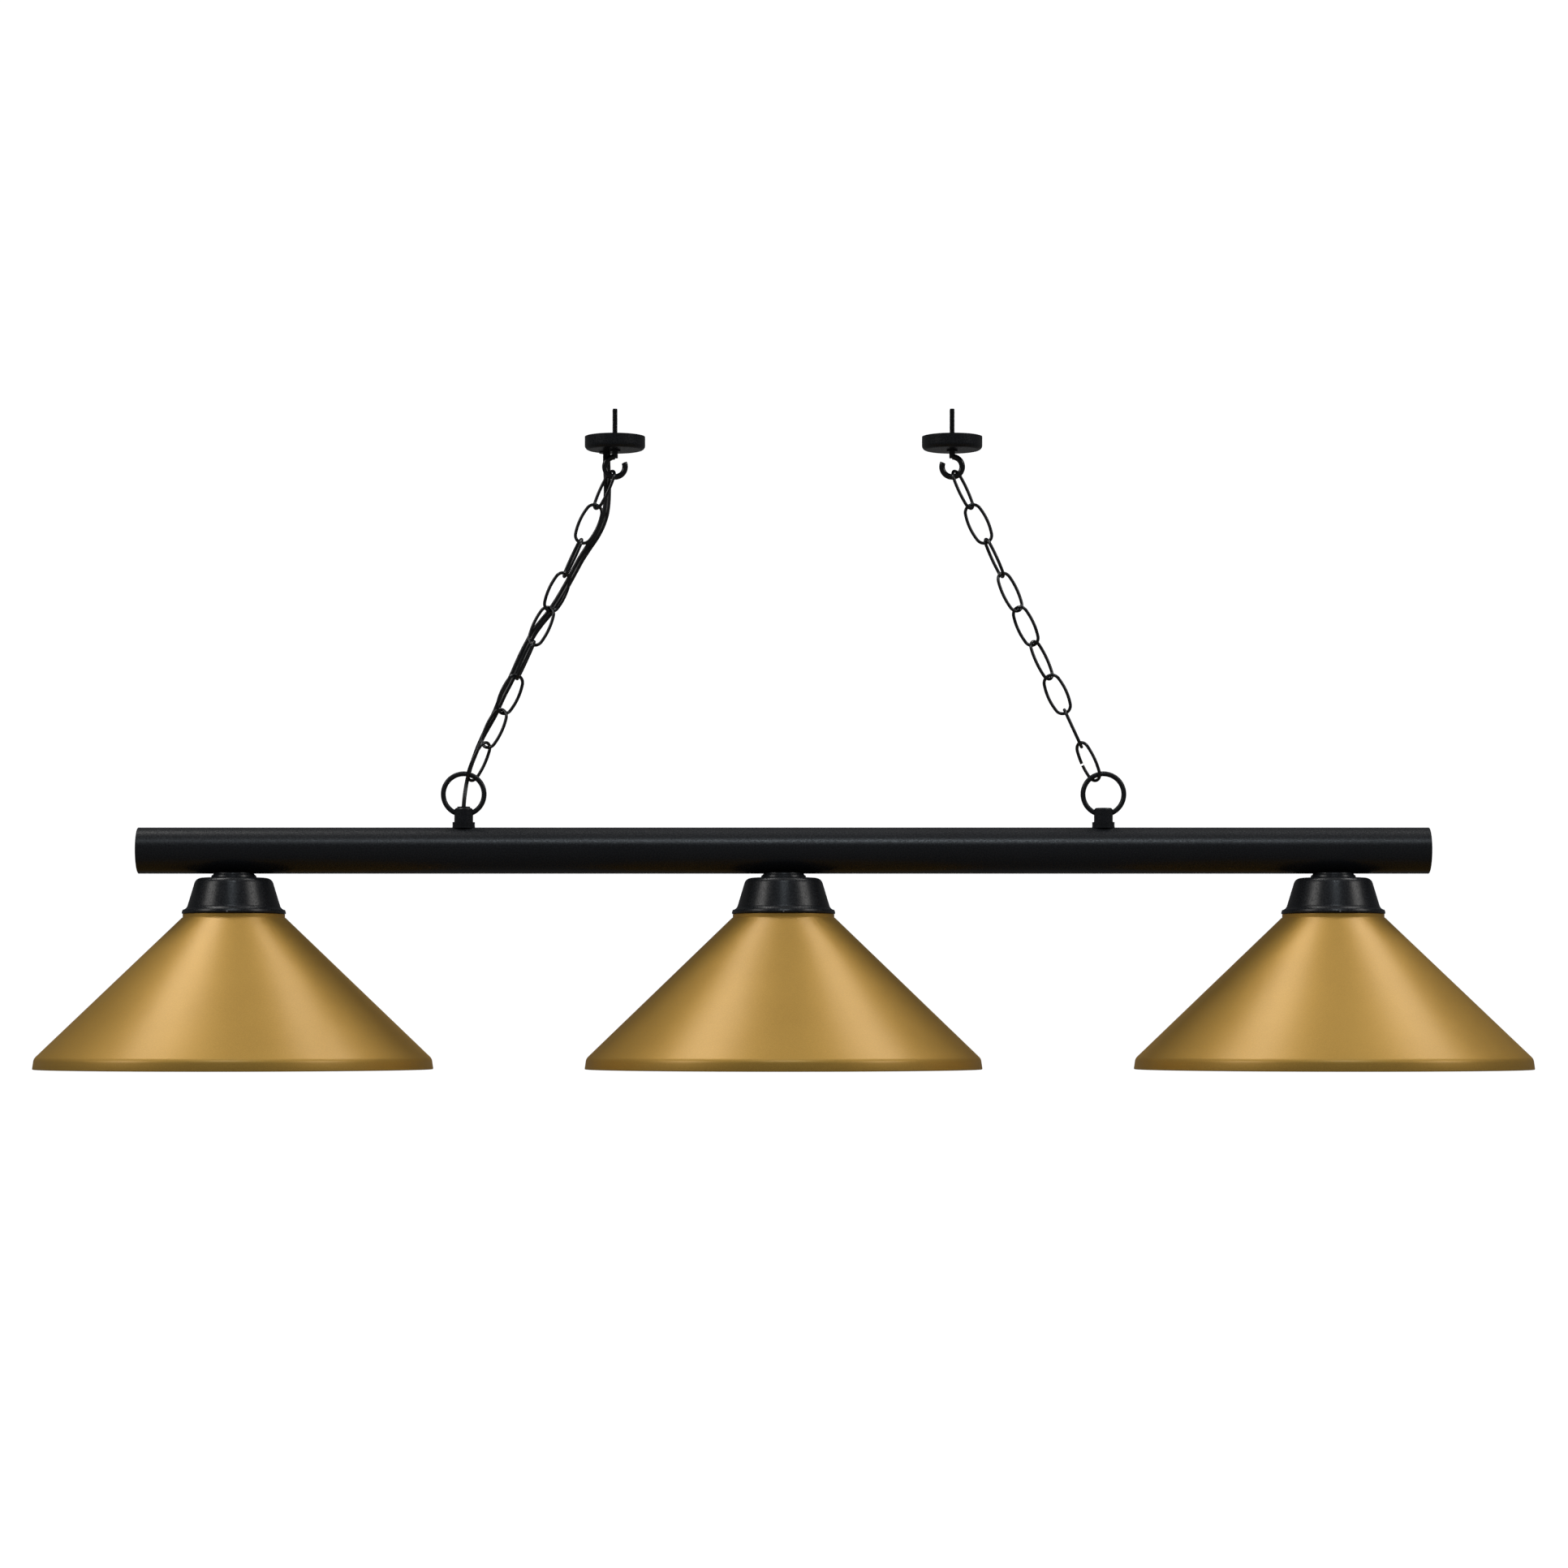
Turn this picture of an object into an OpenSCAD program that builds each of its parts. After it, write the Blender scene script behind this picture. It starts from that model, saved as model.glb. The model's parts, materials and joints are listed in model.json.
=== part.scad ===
// Pool table lamp: a straight tube bar with three wide conical shades,
// hung from the ceiling on two chains that lean towards each other.
// Millimetres, +Z up. The origin is on the ceiling, midway between the two hooks;
// X runs along the bar and +Y points to the back.

/* [Bar] */
// Length of the bar tube
bar_length = 1152; // [1060:2:1400]
// Outer diameter of the bar tube
bar_d = 41.3; // [36:0.1:50]
// Wall of the bar tube
bar_wall = 1.5; // [1:0.1:2.5]
// How far an end cap stands out of the tube
cap_bulge = 2.4; // [1.6:0.1:4]
// How far an end cap's spigot goes into the tube
cap_spigot = 9; // [5:0.5:20]

/* [Hanging loops] */
// Distance between the two hanging loops
loop_spacing = 572; // [480:2:680]
// Outer diameter of a loop's ring
ring_d = 41; // [34:0.5:50]
// Thickness of a loop's ring
ring_wire = 4.5; // [3.5:0.1:5.5]
// Diameter of the collar under a ring
collar_d = 16.8; // [15:0.1:24]
// Height of the collar
collar_h = 12.7; // [11:0.1:18]
// How far the ring is let into its collar
ring_sink = 8.15; // [6:0.05:9]
// Diameter of the lock ring between collar and tube
lock_ring_d = 20.2; // [18:0.1:28]
// Height of the lock ring over the tube
lock_ring_h = 4.7; // [3:0.1:8]

/* [Chains] */
// Lean of each chain from the vertical
chain_lean = 24.8; // [18:0.1:30]
// Outside length of a link
link_length = 39.5; // [34:0.5:48]
// Outside width of a link
link_width = 20; // [18:0.5:24]
// Wire diameter of a link
link_wire = 2.9; // [2:0.1:3.2]
// Radius of a link's rounded ends
link_end_r = 7.2; // [6.5:0.1:8]
// Opening left in the leg of a connecting link
link_cut = 1.6; // [1:0.1:3]

/* [Ceiling hooks] */
// Middle radius of a hook's eye
hook_r = 9; // [8:0.5:14]
// Wire diameter of a hook
hook_wire = 5.2; // [4:0.1:6]
// Straight shank between a hook's eye and its plate
hook_shank = 5.84; // [3:0.02:20]
// Diameter of the threaded stud that goes into the ceiling
stud_d = 4.8; // [4:0.1:6]
// Length of the stud above the ceiling plane
stud_length = 25; // [15:1:60]
// Diameter of a ceiling plate
plate_d = 54; // [48:1:90]
// Height of a ceiling plate
plate_h = 12; // [10:0.5:20]
// Sheet thickness of a ceiling plate
plate_wall = 1.2; // [0.8:0.1:2]

/* [Shade holders] */
// Distance between neighbouring shades
light_spacing = 491.5; // [400:0.5:520]
// Diameter at the top of a holder's shoulder
holder_top_d = 70.6; // [62:0.2:84]
// Diameter of a holder's lower lip
holder_lip_d = 92.4; // [86:0.2:110]
// Height of a holder
holder_h = 32; // [30:0.5:44]
// Sheet thickness of a holder
holder_wall = 1.0; // [0.8:0.1:1.6]
// Lower diameter of the seat ring under the tube
seat_d = 40.4; // [38:0.2:50]
// Upper diameter of the seat ring
seat_top_d = 35.9; // [32:0.1:37]
// Height of the seat ring below the tube
seat_h = 3.85; // [3:0.05:8]

/* [Shades] */
// Diameter of a shade at its rim
shade_d = 355.6; // [300:0.4:400]
// Height of a shade from its top plate to its rim
shade_h = 139.1; // [116:0.1:170]
// Outer diameter of a shade's neck
neck_d = 90.8; // [84:0.2:108]
// Height of a shade's neck
neck_h = 3.6; // [2.5:0.1:8]
// Height of the band at the rim
band_h = 9.7; // [5:0.1:20]
// Sheet thickness of a shade
shade_wall = 0.8; // [0.7:0.1:2]

/* [Sockets and bulbs] */
// Diameter of a socket's threaded skirt
socket_d = 39; // [37:0.1:42]
// Length of a socket's body
socket_h = 45; // [42:0.5:52]
// Diameter of a bulb's screw base
base_d = 26.4; // [26:0.1:26.8]
// Diameter of a bulb's globe
bulb_d = 60; // [45:1:80]
// Length of a bulb from contact to tip
bulb_h = 112; // [95:1:120]
// Outer diameter of the threaded pipes
pipe_d = 9.6; // [9:0.1:10]
// Bore of the threaded pipes
pipe_bore = 7.4; // [6.6:0.1:7.8]
// Diameter of the insulated wires
wire_d = 2.2; // [1.8:0.1:2.4]
// Diameter of the power cord
cord_d = 4.8; // [3.6:0.1:5]

/* [Clearances] */
// Free play round a threaded pipe in what it screws into
thread_play = 0.05; // [0.03:0.01:0.1]
// Free play round a pipe in a plain hole
hole_play = 0.3; // [0.2:0.05:0.5]
// Gap between neighbouring links
link_gap = 0.12; // [0.05:0.01:0.3]
// Gap between a connecting link and its neighbour, which takes up the sway
sway_gap = 1.05; // [0.8:0.05:1.5]
// Gap between a connecting link and its ring
ring_gap = 0.7; // [0.3:0.05:1]
// Gap between a top link and its hook
hook_gap = 0.6; // [0.3:0.05:1]

/* [Hidden] */
$fn = 64;
over = 1;

// Sides of the lamp, as signs along X
left = -1;
right = 1;

// Colours
black_paint = [0.07, 0.07, 0.08];
black_enamel = [0.05, 0.05, 0.06];
gold_paint = [0.72, 0.55, 0.29];
zinc = [0.72, 0.73, 0.75];
brass_colour = [0.80, 0.66, 0.35];
phenolic = [0.12, 0.10, 0.09];
frosted = [0.95, 0.94, 0.90];
cord_black = [0.06, 0.06, 0.06];
wire_white = [0.88, 0.88, 0.86];
nut_yellow = [0.85, 0.70, 0.20];

// Bar
bar_r = bar_d / 2;
bar_inner_r = bar_r - bar_wall;
pipe_r = pipe_d / 2;
thread_r = pipe_r + thread_play;
hole_r = pipe_r + hole_play;
cap_play = 0.05;
cap_lip = 1.0;

// Nuts on the threaded pipes
nut_flats = 14;
nut_h = 4.4;
nut_corner_r = nut_flats / 2 / cos(30);
nut_relief = 0.05;
// A nut inside the tube bears on the curved wall with its corners
nut_bearing = sqrt(pow(bar_inner_r, 2) - pow(nut_corner_r, 2)) - nut_relief;
pipe_past_nut = 2;

// Hanging loops, with heights counted from the bar's axis
lock_ring_top = bar_r + lock_ring_h;
saddle_depth = 0.65;
collar_top = lock_ring_top + collar_h;
collar_edge = 1.4;
ring_r = (ring_d - ring_wire) / 2;
ring_z = collar_top - ring_sink + ring_d / 2;
collar_bore_top = collar_top - 5;
loop_pipe_low = nut_bearing - nut_h - pipe_past_nut;
bushing_r = 4.4;
bushing_bore = 3.7;
bushing_flange_r = 5.8;
bushing_flange_h = 1.2;

// Chain, with s counted from the ring's centre along the chain
links = 9;
link_sides = 10;
link_reach = link_length - link_wire;
link_half_w = (link_width - link_wire) / 2;
link_step = link_reach - link_wire - link_gap;
link_end_c = link_reach / 2 - link_end_r;
link_side_r = (pow(link_half_w, 2) + pow(link_end_c, 2) - pow(link_end_r, 2))
    / (2 * (link_half_w - link_end_r));
link_side_angle = asin(link_end_c / (link_side_r - link_end_r));
first_s = ring_r - ring_wire / 2 - link_wire / 2 - ring_gap;
second_s = first_s + link_reach - link_wire - sway_gap;
last_top_s = second_s + (links - 2) * link_step + link_reach;
hook_s = last_top_s + hook_r - hook_wire / 2 - link_wire / 2 - hook_gap;
// How far each link is turned about the chain, from the connecting link up
twist_left = [55, -28, 28, 90, -28, 30, -75, -5, -60];
twist_right = [-50, 85, -15, 50, -35, 35, -80, 5, 60];

// Hooks and ceiling
hook_x = loop_spacing / 2 - hook_s * sin(chain_lean);
hook_z = -(plate_h + hook_shank + hook_r);
drop = ring_z + hook_s * cos(chain_lean) - hook_z;
// The hook's wire goes three quarters round and this much more towards its mouth
hook_mouth_from = 24;
hook_flange_r = 5;
hook_flange_h = 1.5;
stud_r = stud_d / 2;
// The stud's thicker foot takes the nut and ends just under the ceiling
foot_r = stud_r + 0.6;
foot_room = 1;
foot_nut_flats = 10;
foot_nut_h = 4;
plate_corner = 4;
// The cord's hole in the left plate, counted from the plate's middle
cord_hole = [-8, 13];
grommet_r = 5;
grommet_flange_r = 6.8;
grommet_inner_r = 6.2;
grommet_lip = 1;
grommet_bore = 3.6;

// Lights, with heights counted down from the bar's axis
light_x = [-light_spacing, 0, light_spacing];
seat_top = bar_r - saddle_depth;
holder_top = bar_r + seat_h;
holder_low = holder_top + holder_h;
shoulder_r = 6.5;
lip_h = 2.2;
flare_h = 6.5;
flare_in = 5.3;
// Where the shoulder's round ends in the holder's straight side, from the level
side_lean = 18;
plate_top = holder_low;
shade_low = plate_top + shade_h;
neck_r = neck_d / 2;
shade_r = shade_d / 2;
band_flare = 1.4;
cone_start = 0.7;
hem_h = 3;
hem_wall = 0.8;
socket_r = socket_d / 2;
socket_play = 0.5;
socket_low = plate_top + 19.5;
socket_top = socket_low - socket_h;
hub_r = 9;
hub_h = 6;
socket_cone_h = 11;
shoulder_flange_r = 23;
shoulder_flange_h = 3;
pipe_low = socket_top + hub_h - 0.5;
pipe_high = nut_bearing - nut_h - pipe_past_nut;
base_r = base_d / 2;
shell_play = 0.15;
shell_wall = 0.5;
shell_r = base_r + shell_play + shell_wall;
shell_h = 23;
shell_low = socket_low - 1;
shell_top = shell_low - shell_h;
base_top = shell_top + 1.6;
base_h = 24;
base_cone = 2;
base_collar = 0.6;
base_crown = 4;
contact_tip = 2.2;
contact_play = 0.1;
bulb_low = base_top - contact_tip + bulb_h;
bulb_neck_r = base_r - 1.2;
bulb_neck_h = 6;
bulb_wall = 0.8;
// Where the cone leaves the globe, as an angle above its middle, and the step in there
cone_turn = 19;
cone_step = 0.4;
cavity_top = shell_top - 3;
wire_room_r = 5;
contact_r = 3;
strap_r = 4.2;
strap_gap = 3;
strap_long = 3.5;
post_r = 0.7;
post_root = 0.5;
lead_low = cavity_top - 4.5;
shade_ring_r = 25.5;
shade_ring_h = 5;

// Wiring inside the bar
nut_x = -262;
nut_long = 24;
nut_y = 7;
nut_z = -3;
wire_nut_r = 5.6;
wire_nut_tip_r = 4.2;
wire_nut_bore = 4.4;
// Half the distance between the two wires of a pair, and of a bundle in a nut
wire_pair = 1.3;
wire_lay = 1.2;

// The cord's route from inside the left loop to the ceiling plate
CORD_ROUTE = [
    [-286, 0, -346], [-286, 0, -338], [-286, 0, -331], [-285.5, 1, -323],
    [-284.5, 4, -314], [-283, 6.5, -305], [-280, 7.8, -294], [-276.5, 8.6, -284],
    [-272.5, 9, -274], [-268, 9, -264.5], [-263.5, 8.8, -256], [-259, 8.2, -247.5],
    [-255, 7.6, -238.5], [-251, 7, -229.5], [-246.5, 6.6, -221], [-242, 6.4, -212],
    [-238.5, 6.4, -204], [-234.5, 6.6, -195], [-229.5, 7.2, -185], [-224, 7.8, -175],
    [-217.5, 8.2, -166], [-210.5, 8, -157.5], [-204, 8.4, -148], [-198.5, 8.8, -139],
    [-192.5, 8.6, -128.5], [-187, 8, -118.5], [-181.5, 7.4, -108.5], [-175, 7, -98.5],
    [-168.5, 6.8, -89], [-163.5, 7.2, -79.5], [-160, 8, -69.5], [-158.5, 9, -59.5],
    [-158, 10, -49.5], [-158, 11.2, -39.5], [-158.4, 12.4, -29.5], [-158.7, 13, -20.5],
    [-158.7, 13, -12], [-158.7, 13, -3]
];
// The cord's two conductors part inside the left loop, this far below its lock ring's top
lead_room = 1.35;
supply_top = lock_ring_top - lead_room;

function unit(v) = v / norm(v);
// Points of a route, counted round past its ends where it is closed
function route_at(route, i, closed) =
    let (n = len(route))
    closed ? route[(i + n) % n] : route[max(0, min(i, n - 1))];
function ring_at(route, i, r, sides, closed) =
    let (t = unit(route_at(route, i + 1, closed) - route_at(route, i - 1, closed)))
    let (u = unit(cross(t, [0, 1, 0])), v = cross(t, u))
    [for (k = [0:sides - 1]) route[i] + r * (cos(k * 360 / sides) * u + sin(k * 360 / sides) * v)];
function arc(c, r, from, to, steps) =
    [for (k = [0:steps]) let (a = from + (to - from) * k / steps) c + r * [cos(a), sin(a)]];

// A tube along a route: an endless one where closed, or else with flat ends
module swept(route, r, sides, closed = false) {
    rings = len(route);
    points = [for (i = [0:rings - 1]) each ring_at(route, i, r, sides, closed)];
    walls = [for (i = [0:rings - (closed ? 1 : 2)], k = [0:sides - 1])
        let (next = (i + 1) % rings * sides, side = (k + 1) % sides)
        [i * sides + k, i * sides + side, next + side, next + k]];
    start = [for (k = [sides - 1:-1:0]) k];
    end = [for (k = [0:sides - 1]) (rings - 1) * sides + k];
    polyhedron(points, closed ? walls : concat(walls, [start, end]), convexity = 8);
}

// Moves what is drawn about the bar's axis to its place below the ceiling
module on_bar() {
    translate([0, 0, -drop]) children();
}

// A hex nut standing on z = 0 with its bore along Z
module hex_nut(flats, h, bore_r) {
    difference() {
        cylinder(r = flats / 2 / cos(30), h = h, $fn = 6);
        translate([0, 0, -over]) cylinder(r = bore_r, h = h + 2 * over);
    }
}

// A length of threaded pipe from z = low to z = high
module pipe(low, high) {
    translate([0, 0, low]) difference() {
        cylinder(r = pipe_r, h = high - low);
        translate([0, 0, -over]) cylinder(d = pipe_bore, h = high - low + 2 * over);
    }
}

// ---- Bar ----

module bar_tube() color(black_paint) on_bar() difference() {
    translate([-bar_length / 2, 0, 0]) rotate([0, 90, 0]) cylinder(r = bar_r, h = bar_length, $fn = 96);
    translate([-bar_length / 2 - over, 0, 0]) rotate([0, 90, 0])
        cylinder(r = bar_inner_r, h = bar_length + 2 * over, $fn = 96);
    for (side = [left, right]) translate([side * loop_spacing / 2, 0, 0]) cylinder(r = hole_r, h = bar_d);
    for (x = light_x) translate([x, 0, -bar_d]) cylinder(r = hole_r, h = bar_d);
}

// A pressed plug with a thin lip and a low dome
module end_cap(side) color(black_paint) on_bar()
    translate([side * bar_length / 2, 0, 0]) rotate([0, side * 90, 0]) difference() {
        union() {
            translate([0, 0, -cap_spigot]) cylinder(r = bar_inner_r - cap_play, h = cap_spigot);
            rotate_extrude() polygon([
                [0, 0], [bar_r, 0], [bar_r, cap_lip - 0.3], [bar_r - 0.3, cap_lip],
                [bar_r - 1.6, cap_lip + 0.25], [bar_r * 0.7, cap_bulge - 0.45],
                [bar_r * 0.4, cap_bulge - 0.12], [0, cap_bulge]
            ]);
        }
        translate([0, 0, -cap_spigot - over])
            cylinder(r = bar_inner_r - bar_wall, h = cap_spigot - 1 + over);
    }

// ---- Hanging loops ----

// Ring and collar cast in one, with a threaded bore below and the cord's way above
module loop(side) color(black_paint) on_bar() translate([side * loop_spacing / 2, 0, 0]) difference() {
    union() {
        translate([0, 0, ring_z]) rotate([90, 0, 0])
            rotate_extrude() translate([ring_r, 0]) circle(d = ring_wire);
        translate([0, 0, lock_ring_top]) cylinder(d = collar_d, h = collar_h - collar_edge);
        translate([0, 0, collar_top - collar_edge])
            cylinder(d1 = collar_d, d2 = collar_d - 2 * collar_edge, h = collar_edge);
    }
    translate([0, 0, lock_ring_top - over])
        cylinder(r = thread_r, h = collar_bore_top - lock_ring_top + over);
    translate([0, 0, collar_bore_top - over]) cylinder(r = bushing_r, h = ring_z - collar_bore_top);
}

module loop_nipples() color(zinc) on_bar() for (side = [left, right])
    translate([side * loop_spacing / 2, 0, 0]) pipe(loop_pipe_low, collar_bore_top - 1);

module loop_nuts() color(zinc) on_bar() for (side = [left, right])
    translate([side * loop_spacing / 2, 0, nut_bearing - nut_h]) hex_nut(nut_flats, nut_h, thread_r);

// Grooved rings that lock the loops, saddled to the tube
module loop_lock_rings() color(black_paint) on_bar() for (side = [left, right])
    translate([side * loop_spacing / 2, 0, 0]) difference() {
        translate([0, 0, seat_top]) cylinder(d = lock_ring_d, h = lock_ring_top - seat_top);
        for (k = [1:2]) translate([0, 0, bar_r + k * lock_ring_h / 3 - 0.2]) difference() {
            cylinder(d = lock_ring_d + over, h = 0.4);
            translate([0, 0, -over]) cylinder(d = lock_ring_d - 0.7, h = 0.4 + 2 * over);
        }
        translate([0, 0, seat_top - over]) cylinder(r = thread_r, h = lock_ring_h + 2 * over + saddle_depth);
        translate([-lock_ring_d, 0, 0]) rotate([0, 90, 0]) cylinder(r = bar_r, h = 2 * lock_ring_d, $fn = 96);
    }

// A plastic sleeve that keeps the cord off the left loop's edge
module cord_bushing() color(cord_black) on_bar() translate([-loop_spacing / 2, 0, 0]) difference() {
    union() {
        translate([0, 0, collar_bore_top + thread_play])
            cylinder(r = bushing_r - thread_play, h = collar_top - collar_bore_top);
        translate([0, 0, collar_top]) cylinder(r = bushing_flange_r, h = bushing_flange_h);
    }
    translate([0, 0, collar_bore_top - over]) cylinder(r = bushing_bore, h = collar_h);
}

// ---- Chains ----

// Puts a link's own frame, with its lower end at s, on the chain of that side
module on_chain(side, s) {
    on_bar() translate([side * loop_spacing / 2, 0, ring_z])
        rotate([0, -side * chain_lean, 0]) translate([0, 0, s]) children();
}

// The middle of a link's wire, up its left leg, over and down its right leg, as X and Z.
// The lower end is at z = 0, and the left leg is open by cut at half its height.
function link_route(cut) =
    let (a = link_side_angle, mid = link_reach / 2, from_left = link_side_r - link_half_w)
    let (half_cut = asin(cut / 2 / link_side_r), bend = (180 - 2 * a) / 8)
    concat(
        arc([from_left, mid], link_side_r, 180 - half_cut, 180 - a, 3),
        arc([0, mid + link_end_c], link_end_r, 180 - a - bend, a + bend, 6),
        arc([-from_left, mid], link_side_r, a, -a, 5),
        arc([0, mid - link_end_c], link_end_r, -a - bend, a - 180 + bend, 6),
        arc([from_left, mid], link_side_r, a - 180, half_cut - 180, cut > 0 ? 3 : 2)
    );

module link_body(cut) {
    route = [for (p = link_route(cut)) [p[0], 0, p[1]]];
    last = len(route) - 1;
    if (cut > 0) swept(route, link_wire / 2, link_sides);
    else swept([for (i = [0:last - 1]) route[i]], link_wire / 2, link_sides, true);
}

module chain_link(side, number) color(black_enamel) {
    s = number == 1 ? first_s : second_s + (number - 2) * link_step;
    twist = side == left ? twist_left[number - 1] : twist_right[number - 1];
    on_chain(side, s) rotate([0, 0, twist]) link_body(number == 1 ? link_cut : 0);
}

// ---- Ceiling ----

// A spun dish that hides the fixing, open towards the ceiling
module ceiling_plate(side) color(black_paint) translate([side * hook_x, 0, 0]) difference() {
    rotate_extrude() polygon(concat(
        [[0, -plate_h]],
        arc([plate_d / 2 - plate_corner, plate_corner - plate_h], plate_corner, 270, 360, 10),
        [[plate_d / 2, 0], [plate_d / 2 - plate_wall, 0]],
        arc([plate_d / 2 - plate_corner, plate_corner - plate_h], plate_corner - plate_wall, 360, 270, 10),
        [[0, plate_wall - plate_h]]
    ));
    translate([0, 0, -plate_h - over]) cylinder(r = foot_r + hole_play, h = plate_h);
    if (side == left) translate([cord_hole[0], cord_hole[1], -plate_h - over])
        cylinder(r = grommet_r, h = plate_h);
}

// An open eye with a shank, a bearing flange and the stud that goes into the ceiling
module hook(side) color(black_enamel) translate([side * hook_x, 0, 0]) {
    translate([0, 0, hook_z]) rotate([90, 0, 0]) rotate([0, 0, side == left ? 90 : 180 - hook_mouth_from])
        rotate_extrude(angle = 270 + hook_mouth_from) translate([hook_r, 0]) circle(d = hook_wire, $fn = 32);
    translate([0, 0, hook_z + hook_r - hook_wire / 4])
        cylinder(d = hook_wire, h = hook_shank + hook_wire / 4 - hook_flange_h);
    translate([0, 0, -plate_h - hook_flange_h]) cylinder(r = hook_flange_r, h = hook_flange_h);
    translate([0, 0, -plate_h]) cylinder(r = foot_r, h = plate_h - foot_room);
    translate([0, 0, -plate_h]) cylinder(r = stud_r, h = plate_h + stud_length);
}

module hook_nuts() color(zinc) for (side = [left, right])
    translate([side * hook_x, 0, plate_wall - plate_h])
        hex_nut(foot_nut_flats, foot_nut_h, foot_r + thread_play);

// A rubber grommet with a lip on each side of the left plate
module cord_grommet() color(cord_black)
    translate([-hook_x + cord_hole[0], cord_hole[1], -plate_h]) difference() {
        union() {
            translate([0, 0, -grommet_lip]) cylinder(r = grommet_flange_r, h = grommet_lip);
            cylinder(r = grommet_r - thread_play, h = plate_wall);
            translate([0, 0, plate_wall]) cylinder(r = grommet_inner_r, h = grommet_lip);
        }
        translate([0, 0, -plate_h]) cylinder(r = grommet_bore, h = 2 * plate_h);
    }

module power_cord() color(cord_black) swept(CORD_ROUTE, cord_d / 2, 8);

// ---- Lights ----

module at_light(x) {
    on_bar() translate([x, 0, 0]) children();
}

// Flared rings between the tube and each holder, saddled to the tube
module seat_rings() color(black_paint) for (x = light_x) at_light(x) difference() {
    rotate_extrude() polygon(concat(
        [[thread_r, -holder_top], [seat_d / 2, -holder_top], [seat_d / 2, 0.5 - holder_top]],
        arc([seat_d / 2, -seat_top], (seat_d - seat_top_d) / 2, 258, 180, 8),
        [[thread_r, -seat_top]]
    ));
    translate([-seat_d, 0, 0]) rotate([0, 90, 0]) cylinder(r = bar_r, h = 2 * seat_d, $fn = 96);
}

// Outline of a holder's bell from its middle out and down, w inside its outer face
function holder_outline(w) = concat(
    [[0, -holder_top - w]],
    arc([holder_top_d / 2 - shoulder_r, -holder_top - shoulder_r], shoulder_r - w, 90, side_lean, 7),
    [[holder_lip_d / 2 - flare_in - w, -holder_low + lip_h + flare_h]],
    arc([holder_lip_d / 2, -holder_low + lip_h + flare_h], flare_in + w, 200, 262, 4),
    [[holder_lip_d / 2 - w, -holder_low + lip_h - 0.6 * w], [holder_lip_d / 2 - w, -holder_low]]
);

module holder(x) color(black_paint) at_light(x) difference() {
    rotate_extrude() polygon(concat(holder_outline(0), [[0, -holder_low]]));
    rotate_extrude() polygon(concat(holder_outline(holder_wall), [[0, -holder_low - over]]));
    translate([0, 0, -holder_top - 2 * over]) cylinder(r = hole_r, h = 3 * over);
}

module holder_nipples() color(zinc) for (x = light_x) at_light(x) pipe(-pipe_low, -pipe_high);

module nipple_nuts() color(zinc) for (x = light_x) at_light(x) {
    translate([0, 0, -nut_bearing]) hex_nut(nut_flats, nut_h, thread_r);
    translate([0, 0, -holder_top - holder_wall - nut_h]) hex_nut(nut_flats, nut_h, thread_r);
}

// ---- Shades ----

function inward(a) = [sin(a), -cos(a)];
// A corner moved w to the inner side of two edges that run at angles a and b
function inset(p, a, b, w) = p + w * (inward(a) + inward(b)) / (1 + inward(a) * inward(b));

// Top plate, neck, cone and rim band of a spun shade, with a hem inside the rim
module shade_profile() {
    neck_corner = [neck_r, -plate_top];
    neck_foot = [neck_r, -plate_top - neck_h];
    cone_top = [neck_r + cone_start, -plate_top - neck_h];
    cone_foot = [shade_r - band_flare, -shade_low + band_h];
    rim = [shade_r, -shade_low];
    cone_angle = atan2(cone_foot[1] - cone_top[1], cone_foot[0] - cone_top[0]);
    band_angle = atan2(-band_h, band_flare);
    hem_shift = band_flare * hem_h / band_h;
    polygon([
        [0, -plate_top], neck_corner - [0.8, 0], neck_corner - [0.2, 0.2], neck_corner - [0, 0.8],
        neck_foot, cone_top, cone_foot, rim,
        rim - [shade_wall + hem_wall, 0],
        rim - [shade_wall + hem_wall + hem_shift, -hem_h],
        rim - [shade_wall + hem_shift, -hem_h],
        inset(cone_foot, cone_angle, band_angle, shade_wall),
        inset(cone_top, 0, cone_angle, shade_wall),
        inset(neck_foot, -90, 0, shade_wall),
        neck_corner - [shade_wall, shade_wall],
        [0, -plate_top - shade_wall]
    ]);
}

module shade(x) color(gold_paint) at_light(x) difference() {
    rotate_extrude($fn = 128) shade_profile();
    translate([0, 0, -plate_top - over - shade_wall])
        cylinder(r = socket_r + socket_play, h = shade_wall + 2 * over);
}

// Threaded rings that clamp the shades' top plates to the sockets
module shade_rings() color(phenolic) for (x = light_x) at_light(x)
    translate([0, 0, -plate_top - shade_wall - shade_ring_h]) difference() {
        cylinder(r = shade_ring_r, h = shade_ring_h);
        translate([0, 0, -over]) cylinder(r = socket_r + thread_play, h = shade_ring_h + 2 * over);
        for (k = [0:11]) rotate([0, 0, 30 * k]) translate([shade_ring_r + 0.8, 0, -over])
            cylinder(r = 2, h = shade_ring_h + 2 * over, $fn = 24);
    }

// ---- Sockets and bulbs ----

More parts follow.
